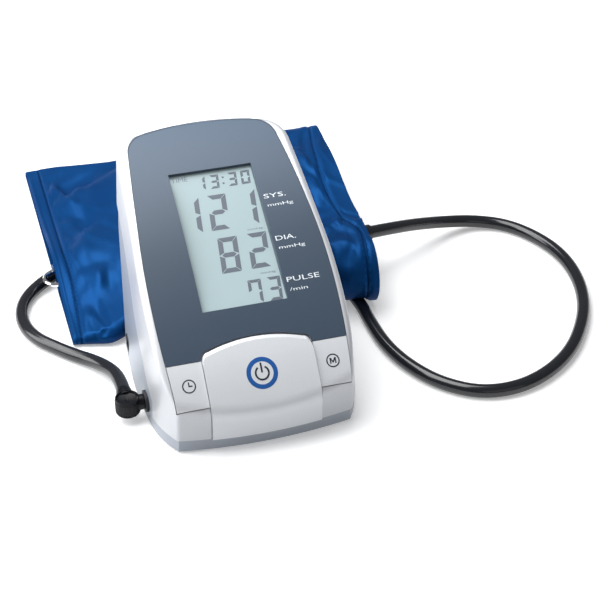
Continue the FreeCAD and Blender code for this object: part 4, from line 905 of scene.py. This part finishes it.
def seamGap(points):
    # distance in plan from the nearest seam line; the short branch runs on the top only
    x, y = points[..., 0], points[..., 1]
    lines = [np.abs(x - np.interp(y, line[:, 0], line[:, 1])) for line in (cuffPlan["hem"], cuffPlan["endSeam"])]
    start, end = (np.array(corner) for corner in cuffPlan["branch"])
    step = end - start
    share = np.clip(((x - start[0]) * step[0] + (y - start[1]) * step[1]) / (step @ step), 0, 1)
    lines.append(np.hypot(x - start[0] - share * step[0], y - start[1] - share * step[1])
                 + cuffPlan["branchAway"] * (points[..., 2] < cuffPlan["branchLow"]))
    return np.minimum.reduce(lines)


def onTop(points, loss, start, end, upward):
    # 1 where the surface faces up, away from the console's strip, less by the loss at the back fold
    x, y, plan = points[..., 0], points[..., 1], cuffPlan["console"]
    beside = np.maximum(smoothStep(*plan["side"], np.abs(x - plan["middle"])), smoothStep(*plan["back"], y))
    folded = 1 - loss * smoothStep(start, end, y.max(axis=1, keepdims=True) - y)
    return beside * folded * smoothStep(*upward, outward(points)[..., 2])


def freedom(points):
    # 1 where the cloth may move, 0 underneath, at the hem, at the end seam, at the back fold and beside the console
    plan, x = cuffPlan, points[..., 0]
    ends = smoothStep(*plan["freeLeft"], x - x[:1].min()) * smoothStep(*plan["freeRight"], x[-1:].min() - x)
    return ends * onTop(points, *plan["free"])


def relief(points):
    # how far the surface stands proud of its plain shape: folds, puffed cloth beside a sunk seam line, a rolled
    # lip at the hem and small puckers round the hose
    plan, lip = cuffPlan, cuffPlan["lip"]
    x, y = points[..., 0], points[..., 1]
    gap = seamGap(points)
    raised = plan["puff"] * (1 - hump(gap, plan["puffInner"])) * hump(gap, plan["puffWidth"])
    raised = raised - plan["grooveDepth"] * hump(gap, plan["grooveWidth"])
    raised += lip["height"] * hump(x - plan["stations"][0, 0] - lip["place"], lip["width"])
    for middleX, middleY, heading, length, width, height in plan["folds"]:
        turn = np.radians(heading)
        along = (x - middleX) * np.cos(turn) + (y - middleY) * np.sin(turn)
        across = (y - middleY) * np.cos(turn) - (x - middleX) * np.sin(turn)
        across += plan["foldCurve"] * along ** 2
        raised += height * hump(along, length) * hump(across, width) * smoothStep(*plan["foldStart"], gap)
    outlet = np.array(plan["outlet"])
    away = np.linalg.norm(points - outlet, axis=-1)
    turn = np.arctan2(y - outlet[1], points[..., 2] - outlet[2])
    raised += plan["pucker"] * np.cos(plan["puckers"] * turn) * hump(away - plan["puckerPlace"], plan["puckerWidth"])
    return raised * onTop(points, *plan["laid"])


def settle(points, hold):
    # lets the cloth grow a little with light air pressure inside, so that it wrinkles where it is free; gives each
    # point's move, eased off towards the most that is allowed
    plan = cuffPlan["cloth"]
    blank = bpy.data.objects.new("cuffBlank", gridMesh("cuffBlank", points, wrapColumns=True))
    bpy.context.scene.collection.objects.link(blank)
    group = blank.vertex_groups.new(name="held")
    tenths = np.round(hold.reshape(-1) * 10).astype(int)
    for level in range(1, 11):
        group.add(np.flatnonzero(tenths == level).tolist(), level / 10, "REPLACE")
    cloth = blank.modifiers.new("cloth", "CLOTH")
    settings = cloth.settings
    settings.quality = plan["quality"]
    settings.mass = plan["mass"]
    settings.tension_stiffness = settings.compression_stiffness = plan["stretch"]
    settings.shear_stiffness = plan["shear"]
    settings.bending_stiffness = plan["bend"]
    settings.use_pressure = True
    settings.uniform_pressure_force = plan["pressure"]
    settings.shrink_min = plan["growth"]
    settings.vertex_group_mass = "held"
    settings.effector_weights.gravity = 0
    cloth.collision_settings.use_collision = False
    cloth.point_cache.frame_start, cloth.point_cache.frame_end = 1, plan["frames"]
    for step in range(1, plan["frames"] + 1):
        bpy.context.scene.frame_set(step)
    done = blank.evaluated_get(bpy.context.evaluated_depsgraph_get()).to_mesh()
    move = placesOf(done).reshape(points.shape) / mm - points
    bpy.context.scene.frame_set(1)
    bpy.data.objects.remove(blank)
    length = np.maximum(np.linalg.norm(move, axis=-1, keepdims=True), 1e-9)
    return move * np.tanh(length / plan["most"]) * plan["most"] / length


def stretched(field, rows, columns):
    # a coarse grid's values on a finer grid: straight blends between neighbours, then two soft averages;
    # the ring side joins up with itself
    first = np.linspace(0, field.shape[0] - 1.001, rows)
    low = first.astype(int)
    share = (first - low)[:, None, None]
    field = field[low] * (1 - share) + field[low + 1] * share
    second = np.linspace(0, field.shape[1], columns, endpoint=False)
    low = second.astype(int)
    share = (second - low)[None, :, None]
    field = field[:, low] * (1 - share) + field[:, (low + 1) % field.shape[1]] * share
    for _ in range(2):
        field = (np.roll(field, 1, axis=1) + 2 * field + np.roll(field, -1, axis=1)) / 4
        field[1:-1] = (field[:-2] + 2 * field[1:-1] + field[2:]) / 4
    return field


def cuffSkin(inset, left, right, rows, columns):
    # the tube's grid, inset and lifted over the hose; a sine moves its rows towards both ends
    share = np.linspace(0, 1, rows)
    places = left + (right - left) * (share - cuffPlan["crowding"] * np.sin(2 * np.pi * share))
    return liftOverHose(cuffSection(places, inset, columns), inset)


def clothLengths(points):
    # lengths round the ring and along the tube, for the weave
    ringStep = np.linalg.norm(np.diff(points, axis=1, append=points[:, :1]), axis=-1).mean(axis=0)
    around = np.concatenate([[0.0], np.cumsum(ringStep)])
    along = points[..., 0].mean(axis=1)
    return np.stack(np.broadcast_arrays(around[None, :], along[:, None]), axis=-1)


def thicken(piece, wall):
    # gives a skin its wall, on the inside
    skin = piece.modifiers.new("wall", "SOLIDIFY")
    skin.thickness = wall * mm
    skin.offset = -1


def makeSleeve():
    # plain skin, then the cloth's own wrinkles, then the laid folds and seams along the normals
    plan = cuffPlan
    left, right = plan["stations"][[0, -1], 0]
    points = cuffSkin(0.0, left, right, plan["rows"], plan["columns"])
    uv = clothLengths(points)
    rows, columns = points.shape[:2]
    coarse = cuffSkin(0.0, left, right, plan["cloth"]["rows"], plan["cloth"]["columns"])
    move = settle(coarse, 1 - freedom(coarse))
    points = points + stretched(move, rows, columns) * freedom(points)[..., None]
    print("cloth settled, largest move %.2f mm" % np.linalg.norm(move, axis=-1).max())
    points = points + outward(points) * relief(points)[..., None]
    points[..., 2] = np.maximum(points[..., 2], plan["floorGap"])
    points = liftOverHose(points, 0.0)
    mesh = gridMesh("cuffSleeve", points, uv, wrapColumns=True)
    gap = mesh.attributes.new("seamGap", "FLOAT", "POINT")
    gap.data.foreach_set("value", seamGap(points).reshape(-1).astype(np.float32))
    sleeve = addPiece("cuffSleeve", mesh, "root", "nylon")
    thicken(sleeve, plan["wall"])
    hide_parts("cuff_sleeve", "cuff_bladder")


def makeLining():
    # plain inner skin, a little shorter than the sleeve
    plan = cuffPlan["lining"]
    right = cuffPlan["stations"][-1, 0] - plan["short"]
    points = cuffSkin(plan["inset"], plan["left"], right, plan["rows"], cuffPlan["columns"])
    mesh = gridMesh("cuffLining", points, clothLengths(points), wrapColumns=True)
    lining = addPiece("cuffLining", mesh, "root", "innerNylon")
    thicken(lining, plan["wall"])
    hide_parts("cuff_lining")


makeSleeve()
makeLining()
polished("hose_collar", "hoseCollar", "rubber")
polished("cuff_ring", "tailRing", "chrome")
print("cuff ready")
